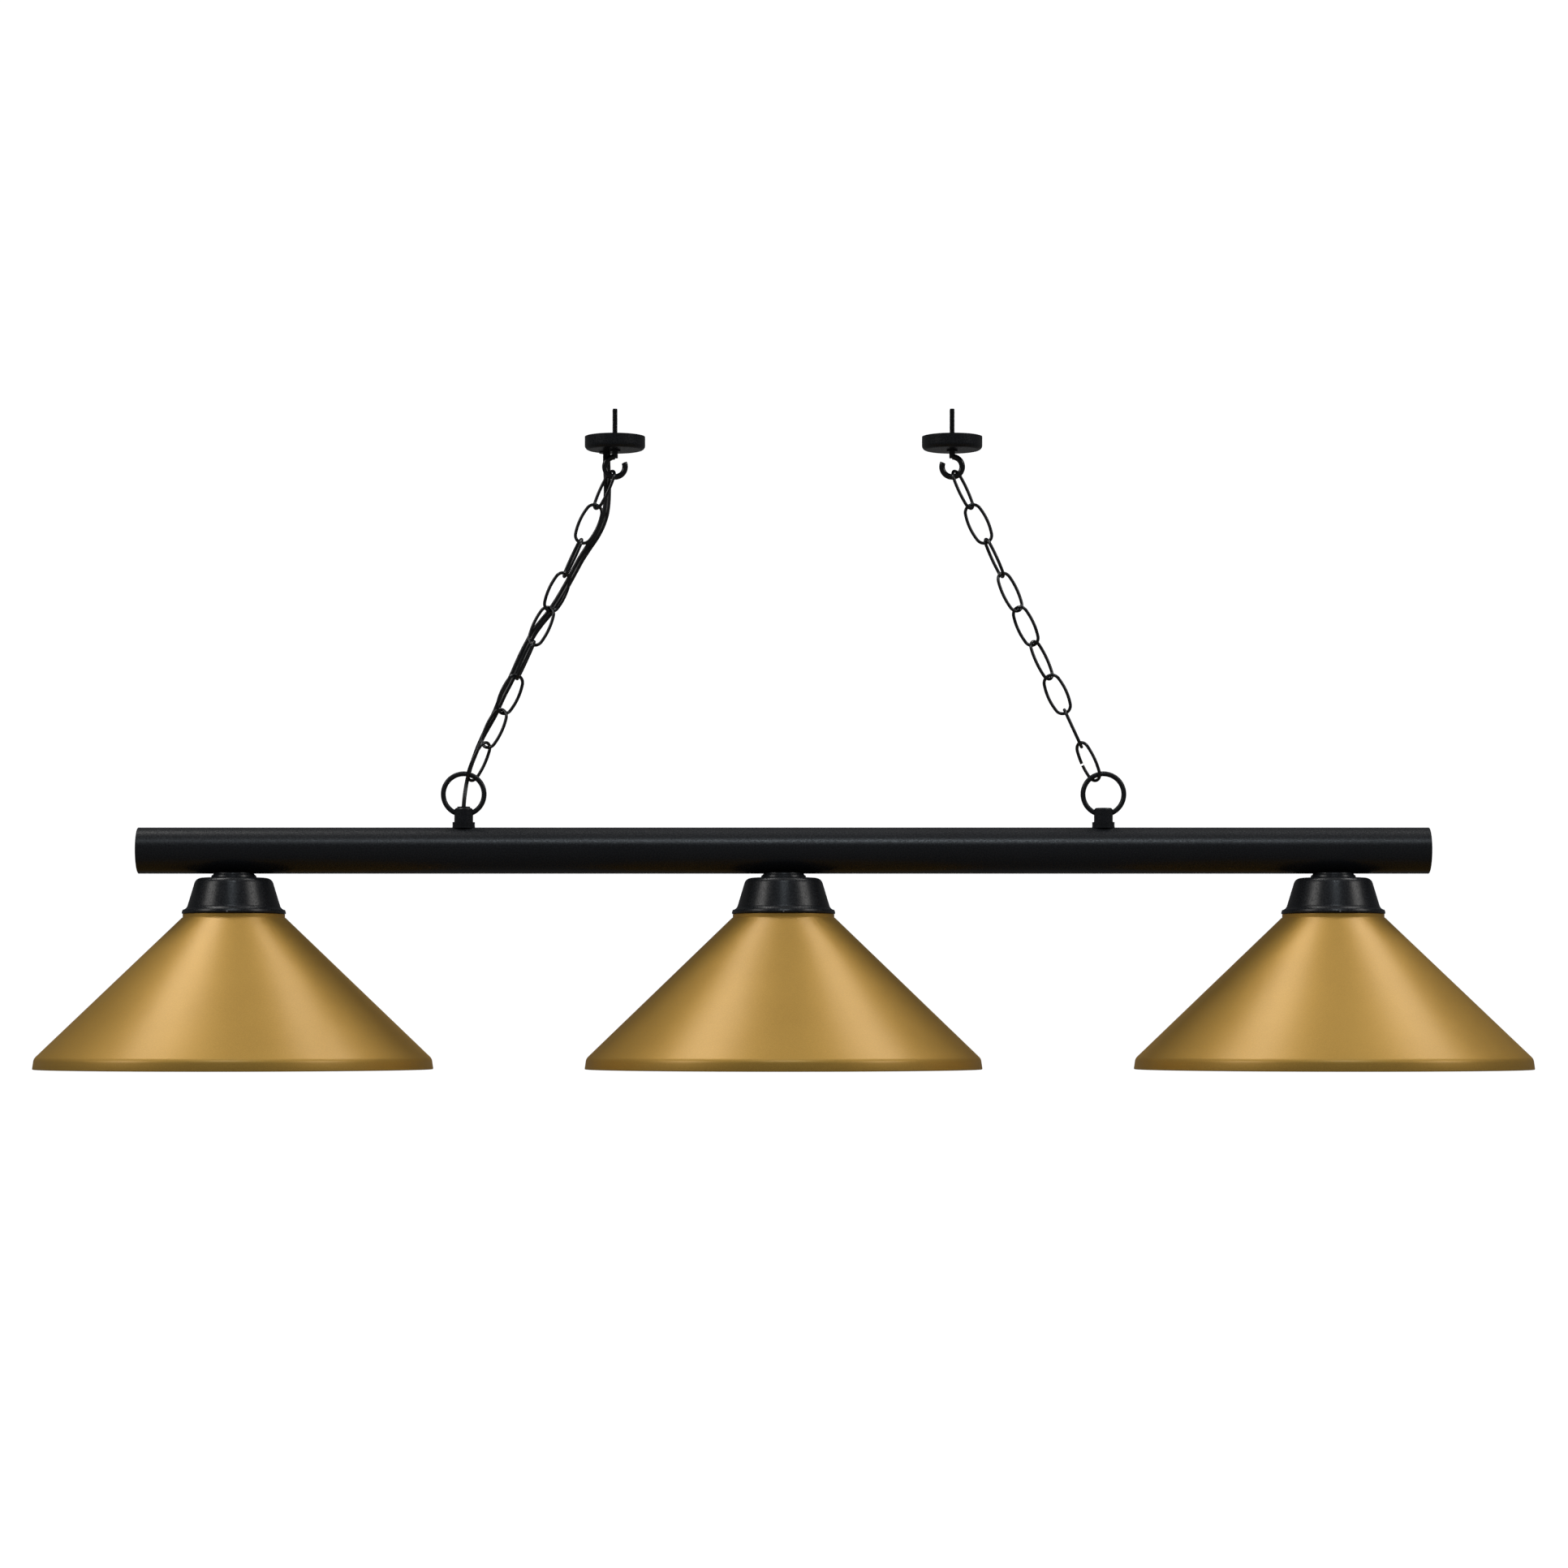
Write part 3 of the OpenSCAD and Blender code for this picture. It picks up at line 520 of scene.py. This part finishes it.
@dataclass
class PowerCord:
    """The flat twin cord that climbs the left chain from the bar to the ceiling plate."""

    conductor_r: float = 1.8 * MM
    conductor_gap: float = 3.2 * MM
    # Half the height of the web between the conductors, as a share of their radius
    web: float = 0.55
    lobe_steps: int = 10
    steps: int = 7
    # The route from inside the left loop to the ceiling plate
    route: tuple[tuple[float, float, float], ...] = (
        (-0.286, 0, -0.346), (-0.286, 0, -0.338), (-0.286, 0, -0.331), (-0.2855, 0.001, -0.323),
        (-0.2845, 0.004, -0.314), (-0.283, 0.0065, -0.305), (-0.28, 0.0078, -0.294),
        (-0.2765, 0.0086, -0.284), (-0.2725, 0.009, -0.274), (-0.268, 0.009, -0.2645),
        (-0.2635, 0.0088, -0.256), (-0.259, 0.0082, -0.2475), (-0.255, 0.0076, -0.2385),
        (-0.251, 0.007, -0.2295), (-0.2465, 0.0066, -0.221), (-0.242, 0.0064, -0.212),
        (-0.2385, 0.0064, -0.204), (-0.2345, 0.0066, -0.195), (-0.2295, 0.0072, -0.185),
        (-0.224, 0.0078, -0.175), (-0.2175, 0.0082, -0.166), (-0.2105, 0.008, -0.1575),
        (-0.204, 0.0084, -0.148), (-0.1985, 0.0088, -0.139), (-0.1925, 0.0086, -0.1285),
        (-0.187, 0.008, -0.1185), (-0.1815, 0.0074, -0.1085), (-0.175, 0.007, -0.0985),
        (-0.1685, 0.0068, -0.089), (-0.1635, 0.0072, -0.0795), (-0.16, 0.008, -0.0695),
        (-0.1585, 0.009, -0.0595), (-0.158, 0.010, -0.0495), (-0.158, 0.0112, -0.0395),
        (-0.1584, 0.0124, -0.0295), (-0.1587, 0.013, -0.0205), (-0.1587, 0.013, -0.012),
        (-0.1587, 0.013, -0.003),
    )
    # How far the cord is turned on its way up: height, and degrees from narrow face to the front
    turns: tuple[tuple[float, float], ...] = (
        (-0.36, 0), (-0.3, 4), (-0.272, 22), (-0.245, 52), (-0.225, 84), (-0.195, 96),
        (-0.165, 68), (-0.13, 76), (-0.1, 98), (-0.06, 84), (0, 80),
    )
    # The stretches between the joints, as first and last point of the route
    foot_end: int = 8
    chain_end: int = 30
    # The share of a stretch over which it passes from one body to the next
    foot_share: float = 0.35
    chain_share: float = 0.25

    def smooth(self, first: int, last: int) -> list[Vector]:
        """The route between two of its points, as one curve through them.

        Args:
            first: Number of the first point.
            last: Number of the last point.

        Returns:
            Points a few to each stretch.
        """
        points = [Vector(p) for p in self.route]
        line: list[Vector] = []
        for i in range(first, last):
            before, a, b, after = (points[max(0, min(j, len(points) - 1))] for j in (i - 1, i, i + 1, i + 2))
            for k in range(self.steps):
                t = k / self.steps
                line.append(0.5 * (2 * a + (b - before) * t + (2 * before - 5 * a + 4 * b - after) * t ** 2
                                   + (3 * a - before - 3 * b + after) * t ** 3))
        line.append(points[last])
        return line

    def turn_at(self, height: float) -> float:
        """The cord's turn at a height, in radians."""
        for (low, start), (high, end) in zip(self.turns, self.turns[1:]):
            if height <= high:
                share = max(0.0, (height - low) / (high - low))
                share = share * share * (3 - 2 * share)
                return math.radians(start + (end - start) * share)
        return math.radians(self.turns[-1][1])

    def outline(self) -> list[tuple[float, float]]:
        """The section of two round conductors side by side, as width and depth."""
        half, r, steps = self.conductor_gap / 2, self.conductor_r, self.lobe_steps
        waist = math.degrees(math.asin(self.web))
        angles = [90 + waist / 3 - (180 + 2 * waist / 3) * k / steps for k in range(steps + 1)]
        lobe = [(half + r * math.cos(math.radians(a)), r * math.sin(math.radians(a))) for a in angles]
        return lobe + [(0, -r * self.web)] + [(-x, -y) for x, y in lobe] + [(0, r * self.web)]

    def sweep(self, name: str, line: list[Vector], finish: bpy.types.Material) -> bpy.types.Object:
        """A closed tube of the cord's section along a line.

        Args:
            name: Name of the piece.
            line: Middle of each ring.
            finish: The jacket's material.

        Returns:
            The tube.
        """
        bm = bmesh.new()
        section = self.outline()
        rings: list[list[bmesh.types.BMVert]] = []
        for i, point in enumerate(line):
            along = (line[min(i + 1, len(line) - 1)] - line[max(i - 1, 0)]).normalized()
            back = (Vector((0, 1, 0)) - along * along.y).normalized()
            wide = Matrix.Rotation(self.turn_at(point.z), 3, along) @ back
            deep = along.cross(wide)
            rings.append([bm.verts.new(point + wide * x + deep * y) for x, y in section])
        for ring in rings:
            for pair in zip(ring, ring[1:] + ring[:1]):
                bm.edges.new(pair)
        for low, high in zip(rings, rings[1:]):
            for k in range(len(low)):
                on = (k + 1) % len(low)
                bm.faces.new((low[k], low[on], high[on], high[k]))
        for ring in (rings[0], rings[-1]):
            bm.faces.new(ring)
        bmesh.ops.recalc_face_normals(bm, faces=bm.faces)
        return piece(name, bm, finish, crease=60)

    def build(self, finish: bpy.types.Material) -> None:
        last = len(self.route) - 1
        stretches = (
            ("cord_foot", 0, self.foot_end, "lamp", "connecting_links"),
            ("cord_on_chain", self.foot_end, self.chain_end, "chain_left", "top_links"),
            ("cord_head", self.chain_end, last, "top_links", "ceiling"),
        )
        for name, start, end, lower_body, upper_body in stretches:
            line = self.smooth(start, end)
            obj = self.sweep(name, line, finish)
            low, high = line[0], line[-1]
            if name == "cord_foot":
                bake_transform(obj, "connecting_links", "lamp", start=high,
                         end=low + (high - low) * self.foot_share)
            elif name == "cord_on_chain":
                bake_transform(obj, "top_links", "chain_left", start=high,
                         end=high + (low - high) * self.chain_share)
            else:
                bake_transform(obj, "ceiling", "top_links", start=high, end=low)
            settle(obj, lower_body, "cord_jacket", *(["power_cord"] if name == "cord_on_chain" else []))


# ---- Chains ----


@dataclass
class Chain:
    """One of the two chains: nine bent-wire links, each turned a little differently."""

    side: Side
    twists: tuple[float, ...]
    lean: float = 24.8
    length: float = 39.5 * MM
    width: float = 20 * MM
    wire: float = 2.9 * MM
    end_r: float = 7.2 * MM
    cut: float = 1.6 * MM
    sides: int = 20
    half_side_steps: int = 10
    side_steps: int = 18
    end_steps: int = 20

    def link_body(self, open_leg: bool) -> bmesh.types.BMesh:
        """A link bent from round wire about its own middle, upright in the XZ plane.

        Args:
            open_leg: Whether the left leg is cut open, as on a connecting link.

        Returns:
            The link's mesh.
        """
        half_w = (self.width - self.wire) / 2
        end_c = (self.length - self.wire) / 2 - self.end_r
        side_r = (half_w ** 2 + end_c ** 2 - self.end_r ** 2) / (2 * (half_w - self.end_r))
        side_turn = math.asin(end_c / (side_r - self.end_r))
        gap = math.asin(self.cut / 2 / side_r) if open_leg else 0
        from_left = Vector((side_r - half_w, 0, 0))
        bends = (
            (from_left, side_turn - gap, self.half_side_steps),
            (Vector((0, 0, end_c)), math.pi - 2 * side_turn, self.end_steps),
            (-from_left, 2 * side_turn, self.side_steps),
            (Vector((0, 0, -end_c)), math.pi - 2 * side_turn, self.end_steps),
            (from_left, side_turn - gap, self.half_side_steps),
        )
        bm = bmesh.new()
        start = bmesh.ops.create_circle(bm, cap_ends=open_leg, segments=self.sides, radius=self.wire / 2,
                                        matrix=Matrix.Translation((-half_w, 0, 0)))
        bmesh.ops.rotate(bm, verts=start["verts"], cent=from_left, matrix=Matrix.Rotation(gap, 3, "Y"))
        ring = list(bm.edges)
        for centre, turn, steps in bends:
            spun = bmesh.ops.spin(bm, geom=ring, cent=centre, axis=(0, 1, 0), angle=turn, steps=steps)
            ring = [e for e in spun["geom_last"] if isinstance(e, bmesh.types.BMEdge)]
        if open_leg:
            bmesh.ops.contextual_create(bm, geom=ring)
        bmesh.ops.remove_doubles(bm, verts=bm.verts, dist=WIRE_WELD)
        bmesh.ops.recalc_face_normals(bm, faces=bm.faces)
        return bm

    def body_of(self, number: int) -> str:
        """The body that a link rides on."""
        if number == 1:
            return "connecting_links"
        if number == len(self.twists):
            return "top_links"
        return f"chain_{self.side.word}"

    def build(self, finish: bpy.types.Material) -> None:
        """Hangs every link where its plain solid is, turned about the chain by its own twist."""
        lean = Matrix.Rotation(math.radians(-self.side.value * self.lean), 4, "Y")
        for number, twist in enumerate(self.twists, start=1):
            node = f"link_{self.side.word}_{number}"
            low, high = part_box(node)
            bm = self.link_body(open_leg=number == 1)
            place = Matrix.Translation((low + high) / 2) @ lean @ Matrix.Rotation(math.radians(twist), 4, "Z")
            bmesh.ops.transform(bm, matrix=place, verts=bm.verts)
            obj = piece(f"wire_{node}", bm, finish, crease=50)
            settle(obj, self.body_of(number), "black_enamel", node)


# ---- Lights ----


@dataclass
class Light:
    """One shade with the bell that holds it and the bulb in it."""

    place: Place
    # The shade
    hole_r: float = 20 * MM
    neck_r: float = 45.4 * MM
    neck_h: float = 3.6 * MM
    neck_bend: float = 0.8 * MM
    foot_bend: float = 0.35 * MM
    cone_start: float = 0.7 * MM
    cone_drop: float = 0.1 * MM
    cone_bend: float = 0.3 * MM
    band_h: float = 9.7 * MM
    band_flare: float = 1.4 * MM
    band_bend: float = 7 * MM
    hem_h: float = 3 * MM
    hem_in: float = 1.6 * MM
    hem_bend: float = 0.75 * MM
    shade_wall: float = 0.75 * MM
    shade_steps: int = 192
    # The bell
    bell_top_r: float = 35.3 * MM
    bell_hole_r: float = 5.1 * MM
    shoulder_r: float = 6.5 * MM
    shoulder_arc: tuple[float, float] = (90, 18)
    flare_h: float = 6.5 * MM
    flare_in: float = 5.3 * MM
    flare_arc: tuple[float, float] = (196, 262)
    arc_steps: int = 12
    lip_h: float = 2.2 * MM
    bead: float = 0.5 * MM
    bead_drop: float = 0.6 * MM
    screw_h: float = 1.2 * MM
    bell_wall: float = 1.0 * MM
    bell_steps: int = 128
    # The bulb
    globe_arc: tuple[float, float] = (-90, 24)
    globe_steps: int = 28
    # Corners of its neck: radius over the base's, height over the collar, and fillet
    neck_corners: tuple[tuple[float, float, float], ...] = (
        (4.5 * MM, -16 * MM, 14 * MM), (-0.9 * MM, -1 * MM, 2 * MM), (-1.2 * MM, 1 * MM, 0.5 * MM),
    )
    neck_steps: int = 10
    glass_wall: float = 0.8 * MM
    glass_steps: int = 96
    base_pitch: float = 3.6 * MM
    base_steps: int = 72

    def node(self, name: str) -> str:
        """The name of this light's node of a kind."""
        return f"{name}_{self.place.value}"

    def shade(self, finish: bpy.types.Material) -> None:
        """The spun cone, with its neck, its rim band and the hem folded inside it."""
        low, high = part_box(self.node("shade"))
        rim = (high.x - low.x) / 2
        drop = high.z - low.z
        middle = Vector(((low.x + high.x) / 2, 0, high.z))
        hem = rim - self.hem_in
        hem_shift = self.band_flare * self.hem_h / self.band_h
        line = eased([
            (self.hole_r, 0, 0),
            (self.neck_r, 0, self.neck_bend),
            (self.neck_r, -self.neck_h, self.foot_bend),
            (self.neck_r + self.cone_start, -self.neck_h - self.cone_drop, self.cone_bend),
            (rim - self.band_flare, -drop + self.band_h, self.band_bend),
            (rim, -drop, self.hem_bend),
            (hem, -drop, self.hem_bend),
            (hem - hem_shift, -drop + self.hem_h, 0),
        ])
        obj = piece(self.node("spun_shade"), turned(line, middle, self.shade_steps), finish)
        give_wall(obj, self.shade_wall)
        settle(obj, "lamp", "gold_paint", self.node("shade"))

    def bell(self, finish: bpy.types.Material, screw: bpy.types.Material) -> None:
        """The bell-shaped holder with its stepped lip, and the set screw in the lip."""
        low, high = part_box(self.node("holder"))
        lip_r = (high.x - low.x) / 2
        height = high.z - low.z
        middle = Vector(((low.x + high.x) / 2, 0, high.z))
        shoulder = arc((self.bell_top_r - self.shoulder_r, -self.shoulder_r), self.shoulder_r,
                       *self.shoulder_arc, self.arc_steps)
        flare_z = -height + self.lip_h + self.flare_h
        flare = arc((lip_r, flare_z), self.flare_in, *self.flare_arc, self.arc_steps)
        step = -height + self.lip_h
        line = [Vector((self.bell_hole_r, 0, 0)), *shoulder, *flare]
        line += eased([(flare[-1].x, flare[-1].z, 0), (lip_r, step - self.bead_drop, self.bead),
                       (lip_r, -height, 0)])[1:]
        obj = piece(self.node("pressed_bell"), turned(line, middle, self.bell_steps), finish)
        give_wall(obj, self.bell_wall)
        settle(obj, "lamp", "black_powder", self.node("holder"))
        self.set_screw(middle + Vector((0, -lip_r, -height + self.screw_h)), screw)

    def set_screw(self, place: Vector, finish: bpy.types.Material) -> None:
        """A tiny screw in the front of the lip that keeps the bell from turning."""
        bm = bmesh.new()
        head_r, proud, sunk, edge = 0.85 * MM, 0.35 * MM, 0.8 * MM, 0.12 * MM
        add_rod(bm, head_r, place + Vector((0, sunk, 0)), place - Vector((0, proud, 0)), segments=20)
        rims = [e for e in bm.edges if len(e.link_faces) == 2 and e.calc_face_angle(0) > 1]
        bmesh.ops.bevel(bm, geom=rims, offset=edge, offset_type="OFFSET", segments=2, profile=0.5,
                        affect="EDGES", material=-1)
        obj = piece(self.node("set_screw"), bm, finish)
        settle(obj, "lamp", "zinc")

    def bulb(self, glass: bpy.types.Material, cap: bpy.types.Material) -> None:
        """The globe, blown in one curve, and its screw base with a rounded, ringed thread."""
        low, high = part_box(self.node("bulb_glass"))
        base_low, base_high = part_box(self.node("bulb_base"))
        radius = (high.x - low.x) / 2
        base_r = (base_high.x - base_low.x) / 2
        axis = Vector(((low.x + high.x) / 2, 0, low.z))
        neck = high.z - low.z
        collar = base_low.z - low.z
        globe = arc((0, radius), radius, *self.globe_arc, self.globe_steps)
        corners = [(base_r + out, collar + rise, bend) for out, rise, bend in self.neck_corners]
        waist = eased([(globe[-1].x, globe[-1].z, 0), *corners, (corners[-1][0], neck, 0)],
                      steps=self.neck_steps)
        line = globe + waist[1:]
        obj = piece(self.node("blown_globe"), turned(line, axis, self.glass_steps), glass)
        give_wall(obj, self.glass_wall)
        settle(obj, "lamp", "frosted_glass", self.node("bulb_glass"))
        self.screw_base(base_low, base_high, base_r, cap)

    def screw_base(self, low: Vector, high: Vector, radius: float, finish: bpy.types.Material) -> None:
        """The bulb's rolled base: collar, round thread, cone and contact.

        Args:
            low: Lower corner of the plain base's box.
            high: Its upper corner.
            radius: Outer radius of the thread.
            finish: The base's material.
        """
        groove, crown, skirt = 0.9 * MM, 4.6 * MM, 3.4 * MM
        collar_edge, skirt_gap, crown_rise = 0.3 * MM, 0.5 * MM, 1.6 * MM
        contact_r, contact_h = 4 * MM, 1.7 * MM
        inner = radius - groove
        height = high.z - low.z
        turns = int((height - crown - skirt) / self.base_pitch)
        line = [Vector((inner, 0, 0)), Vector((radius, 0, collar_edge)),
                Vector((radius, 0, skirt - skirt_gap))]
        steps = 10
        for k in range(turns * steps + 1):
            swell = 0.5 + 0.5 * math.cos(math.tau * k / steps)
            line.append(Vector((inner + groove * (1 - swell), 0, skirt + k * self.base_pitch / steps)))
        line += eased([(inner, height - crown, 0), (inner, height - crown + crown_rise, 1 * MM),
                       (contact_r + 0.5 * MM, height - contact_h, 0.5 * MM), (contact_r, height, 0.6 * MM),
                       (0, height, 0)])
        middle = Vector(((low.x + high.x) / 2, 0, low.z))
        obj = piece(self.node("rolled_base"), turned(line, middle, self.base_steps), finish)
        settle(obj, "lamp", "bulb_cap", self.node("bulb_base"))

    def build(self, paint: dict[str, bpy.types.Material]) -> None:
        """Makes this light's pieces.

        Args:
            paint: The materials by slot.
        """
        self.shade(paint["gold_paint"])
        self.bell(paint["black_powder"], paint["zinc"])
        self.bulb(paint["frosted_glass"], paint["bulb_cap"])


# ---- Ceiling ----


@dataclass
class CeilingHook:
    """An open eye hook with its flange and the machine thread that goes into the ceiling."""

    side: Side
    eye_r: float = 9 * MM
    wire: float = 5.2 * MM
    mouth: float = 24
    plate_h: float = 12 * MM
    flange_r: float = 5 * MM
    flange_h: float = 1.5 * MM
    stud_r: float = 2.4 * MM
    foot_r: float = 3 * MM
    foot_room: float = 1 * MM
    pitch: float = 0.8 * MM
    groove: float = 0.4 * MM
    # How far the thread's foot is sunk in its core
    bury: float = 0.1 * MM
    eye_turn: float = 270
    wire_sides: int = 28
    eye_steps: int = 72
    flange_sides: int = 40
    core_sides: int = 24

    def build(self, finish: bpy.types.Material) -> None:
        """Bends the eye from its wire, upsets the flange and rolls the thread."""
        node = f"hook_{self.side.word}"
        low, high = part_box(node)
        plate_low, plate_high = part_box(f"ceiling_plate_{self.side.word}")
        x = (plate_low.x + plate_high.x) / 2
        eye_z = low.z + self.eye_r + self.wire / 2
        shank_low = eye_z + self.eye_r
        bm = bmesh.new()
        across = Matrix.Rotation(math.pi / 2, 4, "Y")
        bmesh.ops.create_circle(bm, cap_ends=True, segments=self.wire_sides, radius=self.wire / 2,
                                matrix=Matrix.Translation((x, 0, shank_low)) @ across)
        spun = bmesh.ops.spin(bm, geom=list(bm.edges), cent=(x, 0, eye_z), axis=(0, self.side.value, 0),
                              angle=math.radians(self.eye_turn + self.mouth), steps=self.eye_steps)
        mouth = [e for e in spun["geom_last"] if isinstance(e, bmesh.types.BMEdge)]
        bmesh.ops.contextual_create(bm, geom=mouth)
        foot = -self.plate_h - self.flange_h
        add_rod(bm, self.wire / 2, Vector((x, 0, shank_low - self.wire / 4)), Vector((x, 0, foot)),
                self.wire_sides)
        add_rod(bm, self.flange_r, Vector((x, 0, foot)), Vector((x, 0, -self.plate_h)), self.flange_sides)
        stretches = ((self.foot_r, -self.plate_h, -self.foot_room), (self.stud_r, -self.foot_room, high.z))
        for radius, start, end in stretches:
            add_rod(bm, radius - self.groove, Vector((x, 0, start)), Vector((x, 0, end)), self.core_sides)
        bmesh.ops.recalc_face_normals(bm, faces=bm.faces)
        for radius, start, end in stretches:
            thread = threaded_rod(radius, self.pitch, self.groove + self.bury,
                                  Vector((x, 0, start)), Vector((x, 0, end - self.pitch)))
            both = bpy.data.meshes.new("thread")
            thread.to_mesh(both)
            thread.free()
            bm.from_mesh(both)
            bpy.data.meshes.remove(both)
        obj = piece(f"bent_{node}", bm, finish)
        settle(obj, "ceiling", "black_enamel", node)


# ---- Stage ----


WARM: Colour = (1.0, 0.985, 0.96)
COOL: Colour = (0.82, 0.92, 1.0)
# Brightness of the room by the rise of the line of sight, from level (and below) to straight up
ROOM_LEVELS = ((0.0, 0.1), (0.45, 0.05), (0.72, 0.1), (1.0, 0.32))
# How much bluer than grey the room is
ROOM_BLUE = 1.02


@dataclass(frozen=True)
class SoftLight:
    """A light from far off: where it comes from, how strong it is, and how wide in degrees."""

    name: str
    towards: tuple[float, float, float]
    strength: float
    width: float
    colour: Colour = WARM

    def build(self) -> None:
        """Adds the light to the scene."""
        data = bpy.data.lights.new(self.name, "SUN")
        data.energy = self.strength
        data.angle = math.radians(self.width)
        data.color = self.colour
        obj = bpy.data.objects.new(self.name, data)
        obj.rotation_euler = Vector(self.towards).to_track_quat("Z", "Y").to_euler()
        bpy.context.scene.collection.objects.link(obj)


SOFT_LIGHTS = (
    SoftLight("left_soft", (-0.36, 0.19, 0.91), 0.64, 20),
    SoftLight("right_soft", (0.42, 0.22, 0.88), 0.57, 20),
    SoftLight("front_top", (0.02, -0.67, 0.74), 0.36, 12, COOL),
    SoftLight("left_side", (-0.75, -0.36, 0.5), 0.55, 22),
    SoftLight("right_side", (0.75, -0.36, 0.5), 0.55, 22),
)


@dataclass
class Studio:
    """The camera, the pale paper under and behind the lamp, the soft lights and the room."""

    distance: float = 3.7
    lens: float = 95
    sensor: float = 36
    sight: float = 60
    aim: Vector = field(default_factory=lambda: Vector((0.0004, 0, -0.5202)))
    rise: float = 0.1496
    # The paper: half its width, its front edge, its floor, its wall and the bend between them
    half_width: float = 12
    front_y: float = -14
    floor_z: float = -2.5
    back_y: float = 4.0
    top_z: float = 9
    bend: float = 1.2
    bend_steps: int = 16

    def camera(self) -> None:
        """A level camera in front of the lamp."""
        data = bpy.data.cameras.new("camera")
        data.lens = self.lens
        data.sensor_width = self.sensor
        data.shift_y = self.rise
        data.clip_end = self.sight
        eye = bpy.data.objects.new("camera", data)
        eye.location = self.aim + Vector((0, -self.distance, 0))
        eye.rotation_euler = (math.pi / 2, 0, 0)
        bpy.context.scene.collection.objects.link(eye)
        bpy.context.scene.camera = eye

    def backdrop(self) -> None:
        """A pale floor that bends up into a pale wall behind the lamp."""
        material = bpy.data.materials.new("pale paper")
        material.use_nodes = True
        set_inputs(material.node_tree.nodes["Principled BSDF"], {
            "Base Color": (0.9, 0.9, 0.9, 1),
            "Roughness": 0.9,
            "Emission Color": (1, 1, 1, 1),
            "Emission Strength": 0.8,
        })
        bm = bmesh.new()
        line = [Vector((-self.half_width, self.front_y, self.floor_z))]
        for k in range(self.bend_steps + 1):
            a = math.radians(-90 + 90 * k / self.bend_steps)
            line.append(Vector((-self.half_width, self.back_y - self.bend + self.bend * math.cos(a),
                                self.floor_z + self.bend + self.bend * math.sin(a))))
        line.append(Vector((-self.half_width, self.back_y, self.top_z)))
        verts = [bm.verts.new(p) for p in line]
        edges = [bm.edges.new(p) for p in zip(verts, verts[1:])]
        swept = bmesh.ops.extrude_edge_only(bm, edges=edges)
        moved = [v for v in swept["geom"] if isinstance(v, bmesh.types.BMVert)]
        bmesh.ops.translate(bm, verts=moved, vec=(2 * self.half_width, 0, 0))
        paper = piece("backdrop", bm, material)
        paper.visible_glossy = False
        paper.visible_diffuse = False

    def room(self) -> None:
        """A room that is brightest overhead and darker towards the level, and plain white to the camera."""
        world = bpy.data.worlds.new("room")
        bpy.context.scene.world = world
        world.use_nodes = True
        nodes, links = world.node_tree.nodes, world.node_tree.links
        shade = nodes["Background"]
        coordinates = nodes.new("ShaderNodeTexCoord")
        split = nodes.new("ShaderNodeSeparateXYZ")
        links.new(coordinates.outputs["Generated"], split.inputs[0])
        ramp = nodes.new("ShaderNodeValToRGB")
        stops = ramp.color_ramp.elements
        stops[0].position, stops[-1].position = ROOM_LEVELS[0][0], ROOM_LEVELS[-1][0]
        for position, _ in ROOM_LEVELS[1:-1]:
            stops.new(position)
        for stop, (_, level) in zip(stops, ROOM_LEVELS):
            stop.color = (level, level, level * ROOM_BLUE, 1)
        links.new(split.outputs["Z"], ramp.inputs[0])
        links.new(ramp.outputs[0], shade.inputs["Color"])
        pale = nodes.new("ShaderNodeBackground")
        pale.inputs["Color"].default_value = (1, 1, 1, 1)
        seen = nodes.new("ShaderNodeMixShader")
        links.new(nodes.new("ShaderNodeLightPath").outputs["Is Camera Ray"], seen.inputs[0])
        links.new(shade.outputs[0], seen.inputs[1])
        links.new(pale.outputs[0], seen.inputs[2])
        links.new(seen.outputs[0], nodes["World Output"].inputs["Surface"])
        bpy.context.scene.view_settings.view_transform = "Standard"

    def build(self) -> None:
        """Sets up the paper, the lights and the room; the camera is made before the lamp."""
        self.backdrop()
        for light in SOFT_LIGHTS:
            light.build()
        self.room()


# ---- The lamp ----


@dataclass
class PoolTableLamp:
    """The whole lamp: which sub-assembly stands for which plain solids."""

    frame: dict
    paint: dict[str, bpy.types.Material] = field(default_factory=dict)
    left_twists: tuple[float, ...] = (55, -28, 28, 90, -28, 30, -75, -5, -60)
    right_twists: tuple[float, ...] = (-50, 85, -15, 50, -35, 35, -80, 5, 60)

    def mix_paint(self) -> None:
        """Builds every finish once, by the record's slots."""
        groups = {"grain": paint_grain_group(), "dust": dust_group()}
        self.paint = {slot: finish.build(groups) for slot, finish in FINISHES.items()}

    def dress_nodes(self) -> None:
        """Gives every plain solid that stays its finish from the record's slots."""
        for part in self.frame["record"]["subparts"]:
            mesh = self.frame["nodes"][part["node"]].data
            mesh.materials.clear()
            mesh.materials.append(self.paint[part["material_slot"]])

    def build(self) -> None:
        """Makes the cord first, then everything else."""
        self.mix_paint()
        PowerCord().build(self.paint["cord_jacket"])
        self.dress_nodes()
        for side, twists in ((Side.LEFT, self.left_twists), (Side.RIGHT, self.right_twists)):
            Chain(side, twists).build(self.paint["black_enamel"])
            CeilingHook(side).build(self.paint["black_enamel"])
        for place in Place:
            Light(place).build(self.paint)


def main() -> None:
    """Builds the studio and the lamp."""
    logging.basicConfig(level=logging.INFO, format="%(name)s: %(message)s")
    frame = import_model()
    studio = Studio()
    studio.camera()
    PoolTableLamp(frame).build()
    studio.build()


if __name__ == "__main__":
    main()
